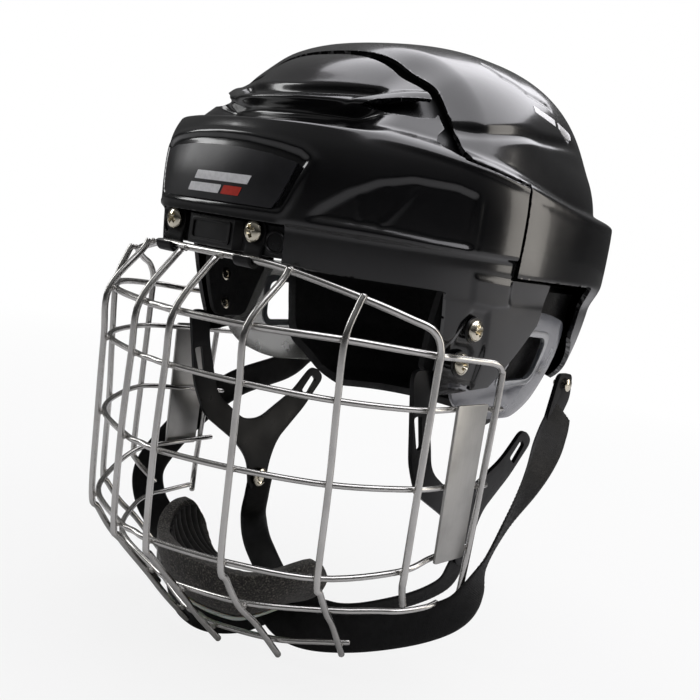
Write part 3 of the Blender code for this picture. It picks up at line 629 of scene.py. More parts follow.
def satin_steel(name, colour, low, high, stretch=(1.0, 1.0, 1.0)):
    look = Look(name, colour, low, 1.0)
    look.vary("Roughness", look.noise(150.0, 3.0, stretch), (0.3, low), (0.72, high))
    dull = tuple(part * 0.85 for part in colour)
    look.vary("Base Color", look.noise(70.0, 5.0), (0.32, dull), (0.6, colour))
    return look.bump(look.noise(500.0, 2.0, stretch), 0.000004, 0.12).mat


def cloudy_plastic(name, thin, thick, clearness):
    """See-through plastic whose tint drifts between two shades."""
    look = Look(name, thin, 0.28, Transmission_Weight=clearness, IOR=1.46)
    look.vary("Roughness", look.noise(45.0, 4.0), (0.3, 0.16), (0.75, 0.3))
    look.vary("Base Color", look.noise(24.0, 3.0), (0.3, thick), (0.7, thin))
    return look.bump(look.noise(700.0, 2.0), 0.00003, 0.4).mat


def foam_black():
    look = Look("closed_cell_foam", (0.006, 0.006, 0.006), 0.85)
    look.vary("Roughness", look.noise(90.0, 5.0), (0.3, 0.7), (0.8, 0.95))
    look.vary("Base Color", look.noise(500.0, 4.0), (0.35, 0.003), (0.8, (0.009, 0.009, 0.0093)))
    return look.bump(look.cells(900.0), 0.00025, 0.7).mat


def speckled_felt():
    look = Look("speckled_felt", (0.05, 0.046, 0.04), 0.95, Sheen_Weight=0.2, Sheen_Roughness=0.5)
    look.vary("Base Color", look.noise(1100.0, 7.0), (0.4, (0.014, 0.013, 0.012)),
              (0.56, (0.05, 0.046, 0.04)), (0.7, (0.19, 0.175, 0.145)))
    look.bump(look.noise(1100.0, 6.0), 0.0004, 0.8)
    return look.bump(look.noise(2600.0, 3.0), 0.0002, 0.5).mat


def dark_lining():
    look = Look("dark_lining", (0.014, 0.014, 0.013), 0.9, Sheen_Weight=0.15)
    look.vary("Base Color", look.noise(300.0, 5.0), (0.35, (0.006, 0.006, 0.0055)),
              (0.8, (0.024, 0.023, 0.02)))
    return look.bump(look.noise(1800.0, 4.0), 0.0002, 0.7).mat


def pale_moulding():
    look = Look("pale_moulding", (0.72, 0.75, 0.66), 0.35, Subsurface_Weight=0.15)
    look.vary("Base Color", look.noise(80.0, 4.0), (0.4, (0.62, 0.68, 0.5)), (0.62, (0.82, 0.83, 0.76)))
    return look.bump(look.noise(400.0, 3.0), 0.0002, 0.5).mat


def woven_black():
    look = Look("woven_black_webbing", (0.004, 0.004, 0.004), 0.5, Specular_IOR_Level=0.22)
    weave = add_node(look.tree, "TexWave", Scale=1.0, Distortion=0.6)
    look.tree.links.new(look.coordinates((330.0, 330.0, 1.0), "UV"), weave.inputs["Vector"])
    look.vary("Base Color", look.noise(240.0, 5.0), (0.3, 0.002), (0.8, (0.008, 0.008, 0.0083)))
    look.vary("Roughness", look.noise(900.0, 3.0), (0.3, 0.38), (0.8, 0.6))
    look.bump(weave.outputs["Fac"], 0.00012, 0.5)
    return look.bump(look.noise(3000.0, 3.0), 0.00012, 0.5).mat


def print_ink(name, colour):
    look = Look(name, colour, 0.35)
    worn = tuple(part * 0.86 for part in colour)
    look.vary("Base Color", look.noise(500.0, 5.0), (0.3, worn), (0.6, colour))
    return look.bump(look.noise(1500.0, 2.0), 0.00002, 0.4).mat


GLOSS = gloss_black()
MATTE = moulded("matte_black_plastic", (0.004, 0.004, 0.0044), 0.24, 0.4, shine=0.4)
CHARCOAL = moulded("charcoal_plastic", (0.004, 0.004, 0.0044), 0.26, 0.4, shine=0.14)
BADGE = moulded("satin_badge_plastic", (0.011, 0.011, 0.0125), 0.3, 0.4, 900.0)
STEEL = satin_steel("satin_steel_wire", (0.60, 0.59, 0.57), 0.2, 0.27)
PLATE_STEEL = satin_steel("brushed_steel_plate", (0.42, 0.415, 0.40), 0.3, 0.44, (6.0, 6.0, 0.35))
WELD = satin_steel("weld_bead", (0.48, 0.465, 0.44), 0.28, 0.4)
NICKEL = satin_steel("dulled_nickel", (0.74, 0.69, 0.57), 0.1, 0.24)
# One smoky plastic in two copies: the left guard's copy is painted dark and nearly opaque as shade, and the
# right guard's copy is painted pale and clear as lit plastic.
CLOUDY_SHADED_AND_LIT = {"left": cloudy_plastic("smoky_plastic_left_painted_shade", (0.085, 0.09, 0.11), (0.055, 0.06, 0.075), 0.2),
          "right": cloudy_plastic("smoky_plastic_right_painted_light", (0.92, 0.92, 0.89), (0.84, 0.84, 0.81), 0.8)}
RIM_PLASTIC = cloudy_plastic("smoky_rim_plastic", (0.2, 0.21, 0.22), (0.14, 0.15, 0.16), 0.3)
FOAM = foam_black()
FELT = speckled_felt()
LINING = dark_lining()
PALE = pale_moulding()
WEBBING = woven_black()
WHITE_INK = print_ink("white_ink", (0.82, 0.82, 0.83))
RED_INK = print_ink("red_ink", (0.55, 0.035, 0.02))


# ---------------------------------------------------------------- shells, badge and band
def outer_shells():
    """The glossy front and rear shells and the matt strip that joins them."""
    front = thicken(shell_sheet(keep_front, 0.0, front_carving, *FINE_GRID), WALL, 0.4, angle=65.0)
    skin("front_shell", front, GLOSS, "front_group", "shell_plastic", sharp=80.0)
    rear = thicken(shell_sheet(keep_rear, 0.0, rear_carving, 640, 250), WALL, 0.4, angle=65.0)
    skin("rear_shell", rear, GLOSS, "rear_group", "shell_plastic", sharp=80.0)
    strip = thicken(shell_sheet(keep_strip, STRIP_INSET, None, 240, 96), 1.6, 0.3)
    skin("slide_strip", strip, MATTE, "rear_group", "matte_black_plastic", sharp=80.0)


BADGE_PLATE = [(-6.0, 36.0), (16.0, 35.6), (33.0, 34.2), (45.5, 31.8), (43.6, 24.0), (40.8, 16.0),
               (38.0, 10.8), (-6.0, 10.8)]
BARS = (("emblem_bar_upper", (-10.0, 25.0), (19.6, 23.6), WHITE_INK),
        ("emblem_bar_lower", (-14.0, 8.0), (14.0, 18.0), WHITE_INK),
        ("emblem_bar_end", (9.6, 20.6), (14.0, 18.0), RED_INK))
BAR_SLANT = 0.45


def badge():
    """The trapezoid plate on the brow, with a plain emblem of three slanted bars."""
    def keep_plate(x, y, z):
        return np.where(y < 60.0, inside(BADGE_PLATE, abs(x), z), -1.0)

    plate = thicken(shell_sheet(keep_plate, 1.2, None, *FINE_GRID), 1.5, 0.35, 1.0)
    skin("badge_plate", plate, BADGE, "front_group", "matte_black_plastic")
    for name, (x0, x1), (z0, z1), ink in BARS:
        lean = BAR_SLANT * (z1 - z0)
        outline = [(x0, z0), (x1, z0), (x1 + lean, z1), (x0 + lean, z1)]

        def keep_bar(x, y, z, outline=outline):
            return np.where(y < 60.0, inside(outline, x, z), -1.0)

        bar = thicken(shell_sheet(keep_bar, -0.33, None, 2400, 760), 0.12, 0.0, 1.0)
        finish_mesh(name, bar, ink, "front_group", "matte_black_plastic")


ACCENTS = (("accent_front", [(128.0, 83.0), (150.0, 80.0), (149.0, 76.6), (127.0, 79.6)]),
           ("accent_rear", [(153.5, 79.4), (171.0, 76.2), (170.0, 72.8), (152.5, 76.0)]))


def accents():
    """Plain white dashes on both sides of the crown."""
    for label, outline in ACCENTS:
        for name, side in SIDES:
            def keep_dash(x, y, z, outline=outline, side=side):
                return np.where(x * side > 30.0, inside(outline, y, z), -1.0)

            dash = thicken(shell_sheet(keep_dash, -0.04, rear_carving, 1280, 500), 0.12, 0.0, 1.0)
            finish_mesh("%s_%s" % (label, name), dash, WHITE_INK, "rear_group", "shell_plastic")


def forehead_band():
    """The flat-fronted band under the brow, its raised pad and the moulded rings beside the clips."""
    low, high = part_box("forehead_band")
    pad, recess, wall = 16.0, 3.6, 3.2
    clip_x = clip_place("left")
    half = high.x / MM
    right = [(pad, 0.0), (pad + 2.5, recess), (clip_x + 7.0, recess), (half, 7.5)]
    outline = [(-x, y) for x, y in reversed(right)] + right
    outline += [(half, 7.5 + wall), (clip_x + 7.0, recess + wall), (0.0, wall)]
    outline += [(-clip_x - 7.0, recess + wall), (-half, 7.5 + wall)]
    height = (high.z - low.z) / MM
    band = plate_mesh([outline], height, 0.7, 3)
    bend(band, lambda p: p + Vector((0.0, 0.0, (high.z + low.z) / 2 / MM)))
    skin("forehead_band", band, MATTE, "front_group", "matte_black_plastic")
    frame_outline = rounded([(-14.0, -8.6), (14.0, -8.6), (14.0, 2.2), (-14.0, 2.2)], 2.0)
    inner = rounded([(-12.6, -7.2), (12.6, -7.2), (12.6, 0.8), (-12.6, 0.8)], 1.4)
    rim = plate_mesh([frame_outline, inner], 0.7, 0.2)
    bend(rim, lambda p: Vector((p.x, -p.z - 0.3, p.y)))
    bmesh.ops.recalc_face_normals(rim, faces=rim.faces)
    finish_mesh("band_pad_rim", rim, MATTE, "front_group", "matte_black_plastic")
    for label, x in (("left", 38.6), ("right", -38.6)):
        ring = turned([(4.0, 0.0), (4.0, 0.9), (4.3, 1.2), (4.9, 1.2), (5.2, 0.9), (5.2, 0.0), (4.0, 0.0)])
        place(ring, (x, 5.2, -3.6), (0.35 if x > 0 else -0.35, -1.0, 0.0))
        finish_mesh("band_ring_" + label, ring, MATTE, "front_group", "matte_black_plastic")


# ---------------------------------------------------------------- pads
def pads():
    """Foam pads with rounded rims and moulded channels."""
    deep = STRIP_INSET + 1.6 + 1.0

    def channels(across, pitch):
        wave = abs((across / pitch) % 1.0 - 0.5) * pitch
        return 1.8 * smooth(0.8, 2.6, wave)

    def between(low, high):
        return lambda x, y, z: np.minimum(z - low, high - z)

    def crown(x, y, z):
        return np.minimum(np.minimum(55.0 - abs(x), y - 62.0), np.minimum(205.0 - y, z - 62.0))

    def neck(x, y, z):
        return np.minimum(-12.0 - z, z + 104.0 - 30.0 * smooth(178.0, 135.0, y))

    pads_made = (
        ("front_liner", "front_group", between(-4.0, 56.0), deep + 7.0, 7.2, (-36.0, 36.0),
         lambda x, y, z: channels(x + 11.0, 22.0)),
        ("crown_liner", "rear_group", crown, deep, 8.2, (-180.0, 180.0), lambda x, y, z: channels(y, 24.0)),
        ("rear_liner", "rear_group", between(-8.0, 52.0), deep + 2.0, 7.2, (140.0, 220.0),
         lambda x, y, z: channels(x + 12.0, 24.0)),
        ("neck_liner", "rear_group", neck, deep + 2.0, 6.6, (94.0, 266.0),
         lambda x, y, z: channels(z + 12.0, 30.0)),
        ("side_liner_left", "front_group", between(-6.0, 34.0), deep + 2.4, 7.2, (62.0, 128.0),
         lambda x, y, z: channels(y, 20.0)),
        ("side_liner_right", "front_group", between(-6.0, 34.0), deep + 2.4, 7.2, (-128.0, -62.0),
         lambda x, y, z: channels(y, 20.0)),
    )
    for name, body, keep, inset, wall, arc, carving in pads_made:
        def kept(x, y, z, keep=keep, arc=arc):
            angle = np.degrees(np.arctan2(x, -(y - CENTRE[1])))
            if arc[1] > 180.0:
                angle = angle % 360.0
            reach = np.hypot(x, y - CENTRE[1])
            sides = np.minimum(angle - arc[0], arc[1] - angle)
            return np.minimum(keep(x, y, z), np.radians(sides) * reach)

        sheet = shell_sheet(kept, inset, carving, 240, 110, -66.0)
        pad = thicken(sheet, wall, 2.2, angle=50.0)
        finish_mesh(name + "_pad", pad, FOAM, body, "foam", name, sharp=60.0)


# ---------------------------------------------------------------- ear guards and loops
EAR_OUTLINE = [(88.0, -24.0), (110.0, -19.0), (150.0, -19.0), (176.0, -24.0), (180.0, -40.0),
               (176.0, -72.0), (166.0, -81.0), (126.0, -80.0), (98.0, -70.0), (86.0, -50.0)]
EAR_HOLE = [(132.0, -32.0), (158.0, -33.0), (158.0, -56.0), (127.0, -57.0)]
EAR_RIM = [(128.4, -28.2), (161.6, -29.4), (161.6, -59.6), (123.2, -60.6)]
EAR_INSET = 2.4


def half_widths(y, z):
    """Half-widths of the shell's outer surface at places in the side view, as an array."""
    azimuth = np.full(np.shape(y), radians(90.0))
    elevation = np.zeros(np.shape(y))
    for _ in range(14):
        px, py, pz = shell_points(azimuth, elevation)
        azimuth = azimuth + (y - py) / HALF_WIDTH
        elevation = elevation + (z - pz) / HALF_WIDTH
    return px


def stand_up(bm, side, middle):
    """Stand a plate up in the side view (X becomes Y, Y becomes Z) on a curved middle surface."""
    flat = np.array([v.co for v in bm.verts])
    out = middle(flat[:, 0], flat[:, 1])
    for vert, (y, z, offset), x in zip(bm.verts, flat, out):
        vert.co = Vector((side * (x + offset), y, z))
    bmesh.ops.recalc_face_normals(bm, faces=bm.faces)
    return bm


def side_plate_mesh(outlines, thickness, side, inset, edge, segments=2):
    """A curved plate in the side view that follows the inside of the shell."""
    plate = plate_mesh(outlines, thickness, 0.0)
    divide_long_edges(plate, 9.0)
    stand_up(plate, side, lambda y, z: half_widths(y, z) - inset)
    round_edges(plate, edge, 60.0, segments)
    return plate


def ear_guards():
    """The smoky guards and the thicker rims round their ear holes."""
    for name, side in SIDES:
        hole = rounded(EAR_HOLE, 6.0)
        plate = side_plate_mesh([rounded(EAR_OUTLINE, 12.0), hole], 2.0, side, WALL + EAR_INSET, 0.5)
        # Each side takes its own copy of the plastic: painted shade on the left guard, painted light on the
        # right guard.
        skin("ear_guard_" + name, plate, CLOUDY_SHADED_AND_LIT[name], "front_group", "smoky_plastic")
        rim = side_plate_mesh([rounded(EAR_RIM, 7.0), hole], 3.0, side, WALL + EAR_INSET, 0.6)
        finish_mesh("ear_rim_" + name, rim, RIM_PLASTIC, "front_group", "smoky_plastic")


TEMPLE_PAD = [(70.0, -8.0), (128.0, -8.0), (122.0, -22.0), (110.0, -42.0), (102.0, -54.0), (74.0, -54.0),
              (69.0, -30.0)]
PAD_INSET = 9.6
NUT_PROFILE = [(0.0, -0.4), (3.6, -0.4), (3.6, 0.5), (3.0, 0.9), (1.9, 0.9), (1.6, 0.2), (0.0, 0.2)]


def temple_pads():
    """Thin black pads behind the skirts, with the inner nuts of the temple screws."""
    for name, side in SIDES:
        pad = side_plate_mesh([rounded(TEMPLE_PAD, 6.0)], 3.4, side, PAD_INSET, 1.1, 3)
        finish_mesh("temple_pad_" + name, pad, FOAM, "front_group", "foam", sharp=60.0)
        for label in ("upper", "lower"):
            middle = box_middle("temple_screw_%s_%s" % (label, name))
            middle.x = side * (float(half_widths(middle.y, middle.z)) - PAD_INSET - 1.7)
            nut = place(turned(NUT_PROFILE), middle, (-side, 0.0, 0.0))
            finish_mesh("temple_nut_%s_%s" % (label, name), nut, NICKEL, "front_group", "nickel_plate")


LOOP_OUTLINE = [(61.0, -52.0), (75.0, -52.0), (78.0, -70.0), (90.0, -104.0), (112.0, -120.0),
                (126.0, -120.0), (156.0, -103.0), (172.0, -86.0), (184.0, -94.0), (166.0, -114.0),
                (141.0, -134.0), (134.0, -148.0), (132.0, -166.0), (119.0, -166.0), (116.0, -146.0),
                (106.0, -134.0), (80.0, -116.0), (71.0, -96.0)]
LOOP_SLOTS = [[(67.5, -75.0), (73.0, -74.0), (78.0, -91.0), (74.0, -92.0)],
              [(163.0, -103.0), (168.0, -107.0), (176.0, -96.0), (171.5, -92.5)]]
LOOP_SWING = {"left": 23.0, "right": 0.0}
LOOP_X = 83.0
LOOP_TUCK = 10.0


def ear_loops():
    """The moulded Y straps with two slots and a tab; the left one hangs further back."""
    for name, side in SIDES:
        outlines = [rounded(LOOP_OUTLINE, 7.0)] + [rounded(slot, 1.5, 3) for slot in LOOP_SLOTS]
        plate = plate_mesh(outlines, 2.4, 0.0)
        divide_long_edges(plate, 8.0)
        stand_up(plate, side, lambda y, z: LOOP_X - LOOP_TUCK * smooth(-90.0, -165.0, z))
        bend(plate, lambda p: p + Vector((0.0, LOOP_SWING[name] * float(smooth(-95.0, -165.0, p.z)), 0.0)))
        round_edges(plate, 0.7, 60.0, 3)
        skin("ear_loop_" + name, plate, CHARCOAL, "front_group", "charcoal_plastic")


# ---------------------------------------------------------------- fasteners
def box_middle(node):
    low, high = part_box(node)
    return (low + high) / 2 / MM


def screw_head(radius):
    """A domed head with a cross recess, flat side at height 0."""
    dome = 0.42 * radius
    profile = [(0.0, -0.6), (radius * 0.96, -0.6), (radius, -0.4), (radius, 0.35)]
    profile += [(radius * cos(radians(a)), 0.35 + dome * sin(radians(a))) for a in range(10, 90, 8)]
    profile += [(0.0, 0.35 + dome)]
    head = loose_object("head", turned(profile))
    tools = []
    for turn in (0.0, 90.0):
        cutter = bmesh.new()
        bmesh.ops.create_cube(cutter, size=1.0)
        for vert in cutter.verts:
            deep = vert.co.z < 0.0
            vert.co.x *= radius * (0.8 if deep else 1.4)
            vert.co.y *= radius * (0.3 if deep else 0.46)
            vert.co.z = -0.1 if deep else dome + 1.2
        bmesh.ops.rotate(cutter, verts=cutter.verts, matrix=Matrix.Rotation(radians(turn), 3, "Z"))
        tool = loose_object("tool", cutter)
        mod = head.modifiers.new("cross", "BOOLEAN")
        mod.operation = "DIFFERENCE"
        mod.object = tool
        mod.solver = "EXACT"
        tools.append(tool)
    bm = as_bmesh(head)
    for tool in tools:
        bpy.data.objects.remove(tool, do_unlink=True)
    round_edges(bm, 0.06, 45.0, 1)
    return bm


SCREW_RADIUS = 5.2


def screw(node, middle, axis, spin):
    head = place(screw_head(SCREW_RADIUS), middle, axis, spin)
    skin(node, head, NICKEL, "front_group", "nickel_plate")


def screws():
    """Cross-head screws in the clips and at the temples; the temple screws sit in dark cup washers."""
    for count, (name, side) in enumerate(SIDES):
        node = "clip_screw_" + name
        screw(node, box_middle(node) + Vector((0.0, 0.3, 0.0)), (0.0, -1.0, 0.0), radians(18.0 + 37.0 * count))
        for step, label in enumerate(("upper", "lower")):
            node = "temple_screw_%s_%s" % (label, name)
            middle = box_middle(node)
            spin = radians(25.0 + 31.0 * step + 13.0 * count)
            screw(node, middle - Vector((side * 0.3, 0.0, 0.0)), (side, 0.0, 0.1), spin)
            washer = turned([(4.9, -2.2), (6.1, -2.2), (6.4, -1.6), (6.1, -0.9), (5.1, -0.9), (4.9, -2.2)])
            place(washer, middle, (side, 0.0, 0.0))
            finish_mesh("washer_%s_%s" % (label, name), washer, MATTE, "front_group", "nickel_plate")


def round_buttons():
    """Hook studs on the rear shell and snap caps on the ear loops."""
    for name, side in SIDES:
        stud = turned([(0.0, -8.4), (1.4, -8.4), (1.4, -0.6), (2.4, -0.6), (2.4, -0.2), (3.6, 0.1), (3.6, 0.5),
                       (2.6, 1.0), (0.0, 1.1)])
        place(stud, box_middle("hook_stud_" + name), (side, 0.0, 0.0))
        skin("hook_stud_" + name, stud, NICKEL, "rear_group", "nickel_plate")
        snap = turned([(0.0, -1.4), (5.6, -1.4), (6.1, -1.0), (6.1, 0.2), (5.4, 0.8), (4.3, 0.9), (3.8, 0.5),
                       (2.7, 0.4), (2.2, 0.9), (0.0, 1.1)])
        place(snap, box_middle("snap_" + name), (-side, 0.0, 0.0))
        skin("snap_" + name, snap, NICKEL, "front_group", "nickel_plate")


HINGE_Y = -0.9
HINGE_Z = -12.7
FRAME_RADIUS = 1.7


def cage_clips():
    """J-shaped strips with a round eye for the screw; they hold the top wire and let it turn."""
    reach = FRAME_RADIUS + 1.4
    tail = [(2.6, 6.2 - 0.8 * k) for k in range(16)] + [(2.4, -8.0), (2.2, -9.6)]
    hook = [radians(a) for a in range(10, -206, -8)]
    tail += [(HINGE_Y + reach * cos(a), HINGE_Z + reach * sin(a)) for a in hook]
    for name in ("left", "right"):
        centre = clip_place(name)

        def surface(u, v):
            y, z = tail[round(u * (len(tail) - 1))]
            eye = z + 0.3
            half = 6.6 if eye < 0.0 else max(0.6, (6.6 ** 2 - min(eye, 6.56) ** 2) ** 0.5)
            waist = 1.1 * float(smooth(-3.0, -7.5, z))
            return (centre + (v - 0.5) * 2.0 * (half - waist), y, z)

        strip = thicken(grid_sheet(surface, len(tail) - 1, 8), 1.5, 0.4, 0.0)
        skin("cage_clip_" + name, strip, CHARCOAL, "front_group", "charcoal_plastic")


# ---------------------------------------------------------------- cage
UPRIGHT_RADIUS = 1.6
CROSS_RADIUS = 1.45
UPRIGHT_X = (13.0, 51.5, 84.3)
SIDE_X = 105.6
SIDE_FRONT_Y = 49.5
SIDE_REAR_Y = 103.0
CLIP_X = 28.5
GAP = 0.35
UPRIGHT_STATIONS = {
    0: [(-4.8, -14.2), (-9.2, -18.5), (-24.9, -40.1), (-25.9, -64.5), (-25.9, -104.0), (-23.4, -147.0),
        (-19.0, -155.0), (0.5, -176.0), (14.0, -191.0), (31.0, -208.0)],
    1: [(3.7, -13.0), (0.3, -19.0), (-16.2, -39.6), (-15.8, -64.2), (-14.0, -102.4), (-11.4, -145.5),
        (-6.5, -154.0), (4.0, -168.5), (18.0, -181.0), (38.0, -202.5)],
    2: [(17.3, -18.6), (14.5, -24.0), (9.6, -38.7), (11.0, -65.3), (14.2, -102.9), (16.5, -146.3),
        (20.0, -153.0), (29.0, -165.0), (39.0, -175.0), (56.0, -196.0)],
}


def plan_curve(stations, span):
    """A cross wire from its left half: points go from the middle to the left rear end."""
    right = [(-x, y, z) for x, y, z in reversed(stations[1:])]
    return spline_points(right + stations, span)


def upright_x(base, z):
    """The uprights lean inward under the chin."""
    return base * (1.0 - 0.13 * float(smooth(-150.0, -200.0, z)) * (base / UPRIGHT_X[2]) ** 2)


def cross_path(front, a, e, f, rear):
    """A cross wire that passes just inside the uprights."""
    lane = UPRIGHT_RADIUS + CROSS_RADIUS + GAP
    inner = SIDE_X - FRAME_RADIUS - CROSS_RADIUS - GAP
    stations = [(0.0, front[0] - 0.6 + lane, front[1]), (UPRIGHT_X[0], front[0] + lane, front[1])]
    stations.append((UPRIGHT_X[1] - 1.1, a[0] + lane * 0.93, a[1]))
    stations.append((UPRIGHT_X[2] - 2.1, e[0] + lane * 0.72, e[1]))
    stations += [(inner, y, z) for y, z in [f] + rear]
    return plan_curve(stations, 6)


def wire_paths():
    """Every wire of the cage as node name, path and radius."""
    wires = []
    for index, base in enumerate(UPRIGHT_X):
        for name, side in SIDES:
            points = [(side * upright_x(base, z), y, z) for y, z in UPRIGHT_STATIONS[index]]
            wires.append(("upright_%s_%d" % (name, index + 1), spline_points(points, 6), UPRIGHT_RADIUS))
    x, front, rear = SIDE_X, SIDE_FRONT_Y, SIDE_REAR_Y
    top = [(0.0, -1.6, HINGE_Z), (13.0, -1.3, HINGE_Z), (CLIP_X - 7.0, HINGE_Y, HINGE_Z),
           (CLIP_X + 6.5, HINGE_Y, HINGE_Z), (50.5, 7.2, -14.6), (82.0, 19.6, -20.6), (97.0, 34.0, -26.0),
           (103.6, 44.0, -30.0), (x, front - 0.5, -38.0), (x, front, -52.0), (x, front + 0.5, -96.0),
           (x, front + 1.2, -140.0), (x - 1.6, front + 3.5, -149.0), (x - 7.6, 64.5, -162.4)]
    wires.append(("frame_wire_top", plan_curve(top, 6), FRAME_RADIUS))
    second = [(0.0, -21.7, -40.2), (13.0, -21.1, -40.1), (50.3, -12.5, -39.5), (81.7, 12.3, -38.7),
              (102.1, front, -41.0), (102.1, 66.0, -42.2), (103.6, 84.0, -43.4), (x, 96.0, -44.4),
              (x, rear - 1.5, -47.5), (x, rear, -54.0), (x, rear - 1.0, -100.0), (x, rear - 2.6, -148.0),
              (x - 1.0, rear - 3.5, -163.0), (x - 6.5, rear - 8.0, -171.5)]
    wires.append(("frame_wire_side", plan_curve(second, 6), FRAME_RADIUS))
    crossings = (
        ("cross_wire_1", (-25.9, -64.5), (-15.8, -64.2), (11.0, -65.3), (47.5, -65.8),
         [(80.0, -66.6), (114.0, -68.0)]),
        ("cross_wire_2", (-25.9, -104.0), (-14.0, -102.4), (14.2, -102.9), (49.4, -102.4),
         [(80.0, -104.5), (112.0, -107.0)]),
        ("cross_wire_3", (-23.4, -147.0), (-11.4, -145.5), (16.5, -146.3), (50.7, -141.5),
         [(76.0, -139.0), (108.0, -137.5)]),
    )
    for name, *stations in crossings:
        wires.append((name, cross_path(*stations), CROSS_RADIUS))
    chin = [(0.0, 3.4, -175.0), (13.0, 4.0, -174.2), (50.4, 9.4, -168.6), (78.0, 36.0, -166.6)]
    chin += [(89.5, 55.0, -166.4), (94.6, 68.0, -167.4), (98.0, 84.0, -167.4), (98.2, 93.0, -166.6)]
    wires.append(("chin_wire_upper", plan_curve(chin, 6), CROSS_RADIUS))
    low = [(0.0, 26.6, -198.6), (13.0, 27.2, -198.6), (46.0, 36.0, -194.6)]
    low += [(66.0, 48.6, -190.6), (76.5, 57.0, -188.3)]
    wires.append(("chin_wire_lower", plan_curve(low, 6), CROSS_RADIUS))
    return wires


def wire_piece(name, points, radius):
    """A round bar with softly rounded ends."""
    ends = ((0.55, 0.0), (0.86, 0.3), (1.0, 0.8))
    first, last = points[0], points[-1]
    into = (points[1] - first).normalized()
    back = (points[-2] - last).normalized()
    path = [(first + into * step, share) for share, step in ends]
    path += [(p, 1.0) for p in points[1:-1]]
    path += [(last + back * step, share) for share, step in reversed(ends)]
    curve = polylines([[(*point, share) for point, share in path]], "3D", False)
    curve.bevel_depth = radius
    curve.bevel_resolution = 4
    curve.use_fill_caps = True
    bm = as_bmesh(linked(bpy.data.objects.new("bar", curve)))
    bmesh.ops.remove_doubles(bm, verts=bm.verts, dist=1e-3)
    finish_mesh(name + "_bar", bm, STEEL, "cage", "satin_steel", name, sharp=50.0)


def dense(points, step=0.5):
    """The path sampled at even short steps, as an array."""
    knots = np.array([tuple(p) for p in points])
    lengths = np.linalg.norm(np.diff(knots, axis=0), axis=1)
    along = np.concatenate([[0.0], np.cumsum(lengths)])
    at = np.arange(0.0, along[-1], step)
    return np.stack([np.interp(at, along, knots[:, k]) for k in range(3)], axis=1)


def weld_beads(wires):
    """One small irregular bead at every place where two wires are welded."""
    lines = [(dense(points), radius) for _, points, radius in wires]
    bm = bmesh.new()
    for i, (a, ra) in enumerate(lines):
        for b, rb in lines[i + 1:]:
            for half in (1.0, -1.0):
                left, right = a[a[:, 0] * half > 0.0], b[b[:, 0] * half > 0.0]
                if not len(left) or not len(right):
                    continue
                apart = np.linalg.norm(left[:, None] - right[None], axis=2)
                j, k = np.unravel_index(np.argmin(apart), apart.shape)
                if apart[j, k] < ra + rb + 1.1:
                    add_bead(bm, Vector((left[j] + right[k]) / 2), Vector(left[j] - right[k]))
    finish_mesh("weld_beads", bm, WELD, "cage", "satin_steel", sharp=80.0)


def add_bead(bm, centre, across):
    """A flattened blob between two wires, its surface uneven."""
    made = bmesh.ops.create_icosphere(bm, subdivisions=2, radius=1.0)["verts"]
    turn = Vector((0.0, 0.0, 1.0)).rotation_difference(across).to_matrix()
    for vert in made:
        lump = 1.0 + 0.16 * noise.noise(vert.co * 2.2 + centre)
        vert.co = centre + turn @ Vector((vert.co.x * 1.55, vert.co.y * 1.55, vert.co.z * 1.25)) * lump


def side_plates():
    """Flat steel strips between the two side wires."""
    for name, side in SIDES:
        low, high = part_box("side_plate_" + name)
        wall = (high.x - low.x) / MM
        middle = abs(high.x + low.x) / 2 / MM
        outline = rounded([(70.5, -64.0), (95.5, -64.0), (96.6, -141.0), (73.5, -141.0)], 1.5, 3)
        plate = plate_mesh([outline], wall, 0.25)
        stand_up(plate, side, lambda y, z: np.full(np.shape(y), middle))
        skin("side_plate_" + name, plate, PLATE_STEEL, "cage", "satin_steel")


# ---------------------------------------------------------------- chin cup
CUP_HALF_WIDTH = 55.0
CUP_FRONT_Y = 9.0
CUP_SIDE_Y = 52.0
CUP_SWEEP = 105.0


def cup_point(u, v, inset=0.0):
    """Chin cup surface: u goes round from ear to ear, v from the rim down to the bottom."""
    angle = radians(CUP_SWEEP) * (1.0 - 2.0 * u)
    spread = abs(angle) * 180.0 / pi
    ears = float(smooth(35.0, 85.0, spread))
    rim = -164.0 + 8.5 * ears - 13.0 * float(smooth(88.0, 112.0, spread))
    depth = (-196.5 + 8.0 * ears) - rim
    turn = radians(88.0) * v
    reach = 0.42 + 0.58 * cos(turn)
    x = (CUP_HALF_WIDTH - inset) * sin(angle) * reach
    y = CUP_SIDE_Y - (CUP_SIDE_Y - CUP_FRONT_Y - inset) * cos(angle) * reach
    return Vector((x, y, rim + (depth + inset) * sin(turn)))


def chin_cup():
    """Felt-covered pad, its ribbed inner lining and the pale base under it."""
    pad = thicken(grid_sheet(lambda u, v: cup_point(u, v, 1.5), 132, 40), 6.3, 1.9, -1.0, 55.0)
    for vert in pad.verts:
        vert.co += Vector((0.25, 0.25, 0.25)) * noise.noise(vert.co * 0.35)
    finish_mesh("chin_cup_felt", pad, FELT, "cage", "felt", "chin_cup_pad", sharp=80.0)

    def lining(u, v):
        rib = abs((u * 26.0) % 1.0 - 0.5)
        return cup_point(0.03 + 0.94 * u, 0.06 + 0.9 * v, 8.1 + 0.9 * float(smooth(0.1, 0.32, rib)))

    inner = thicken(grid_sheet(lining, 208, 30), 0.8, 0.0, -1.0)
    finish_mesh("chin_cup_lining", inner, LINING, "cage", "felt", sharp=60.0)
    base = thicken(grid_sheet(lambda u, v: cup_point(0.1 + 0.8 * u, 0.62 + 0.38 * v), 108, 24), 1.2, 0.3, -1.0)
    finish_mesh("chin_cup_shell", base, PALE, "cage", "pale_plastic", "chin_cup_base", sharp=60.0)


# ---------------------------------------------------------------- webbing
WEB_WIDTH = 19.0
WEB_WALL = 1.6
RIB_PITCH = 2.3
RIB_HEIGHT = 0.26
RIB_LEAN = 0.9
FRONT_LEFT = (0.65, -0.75, 0.13)


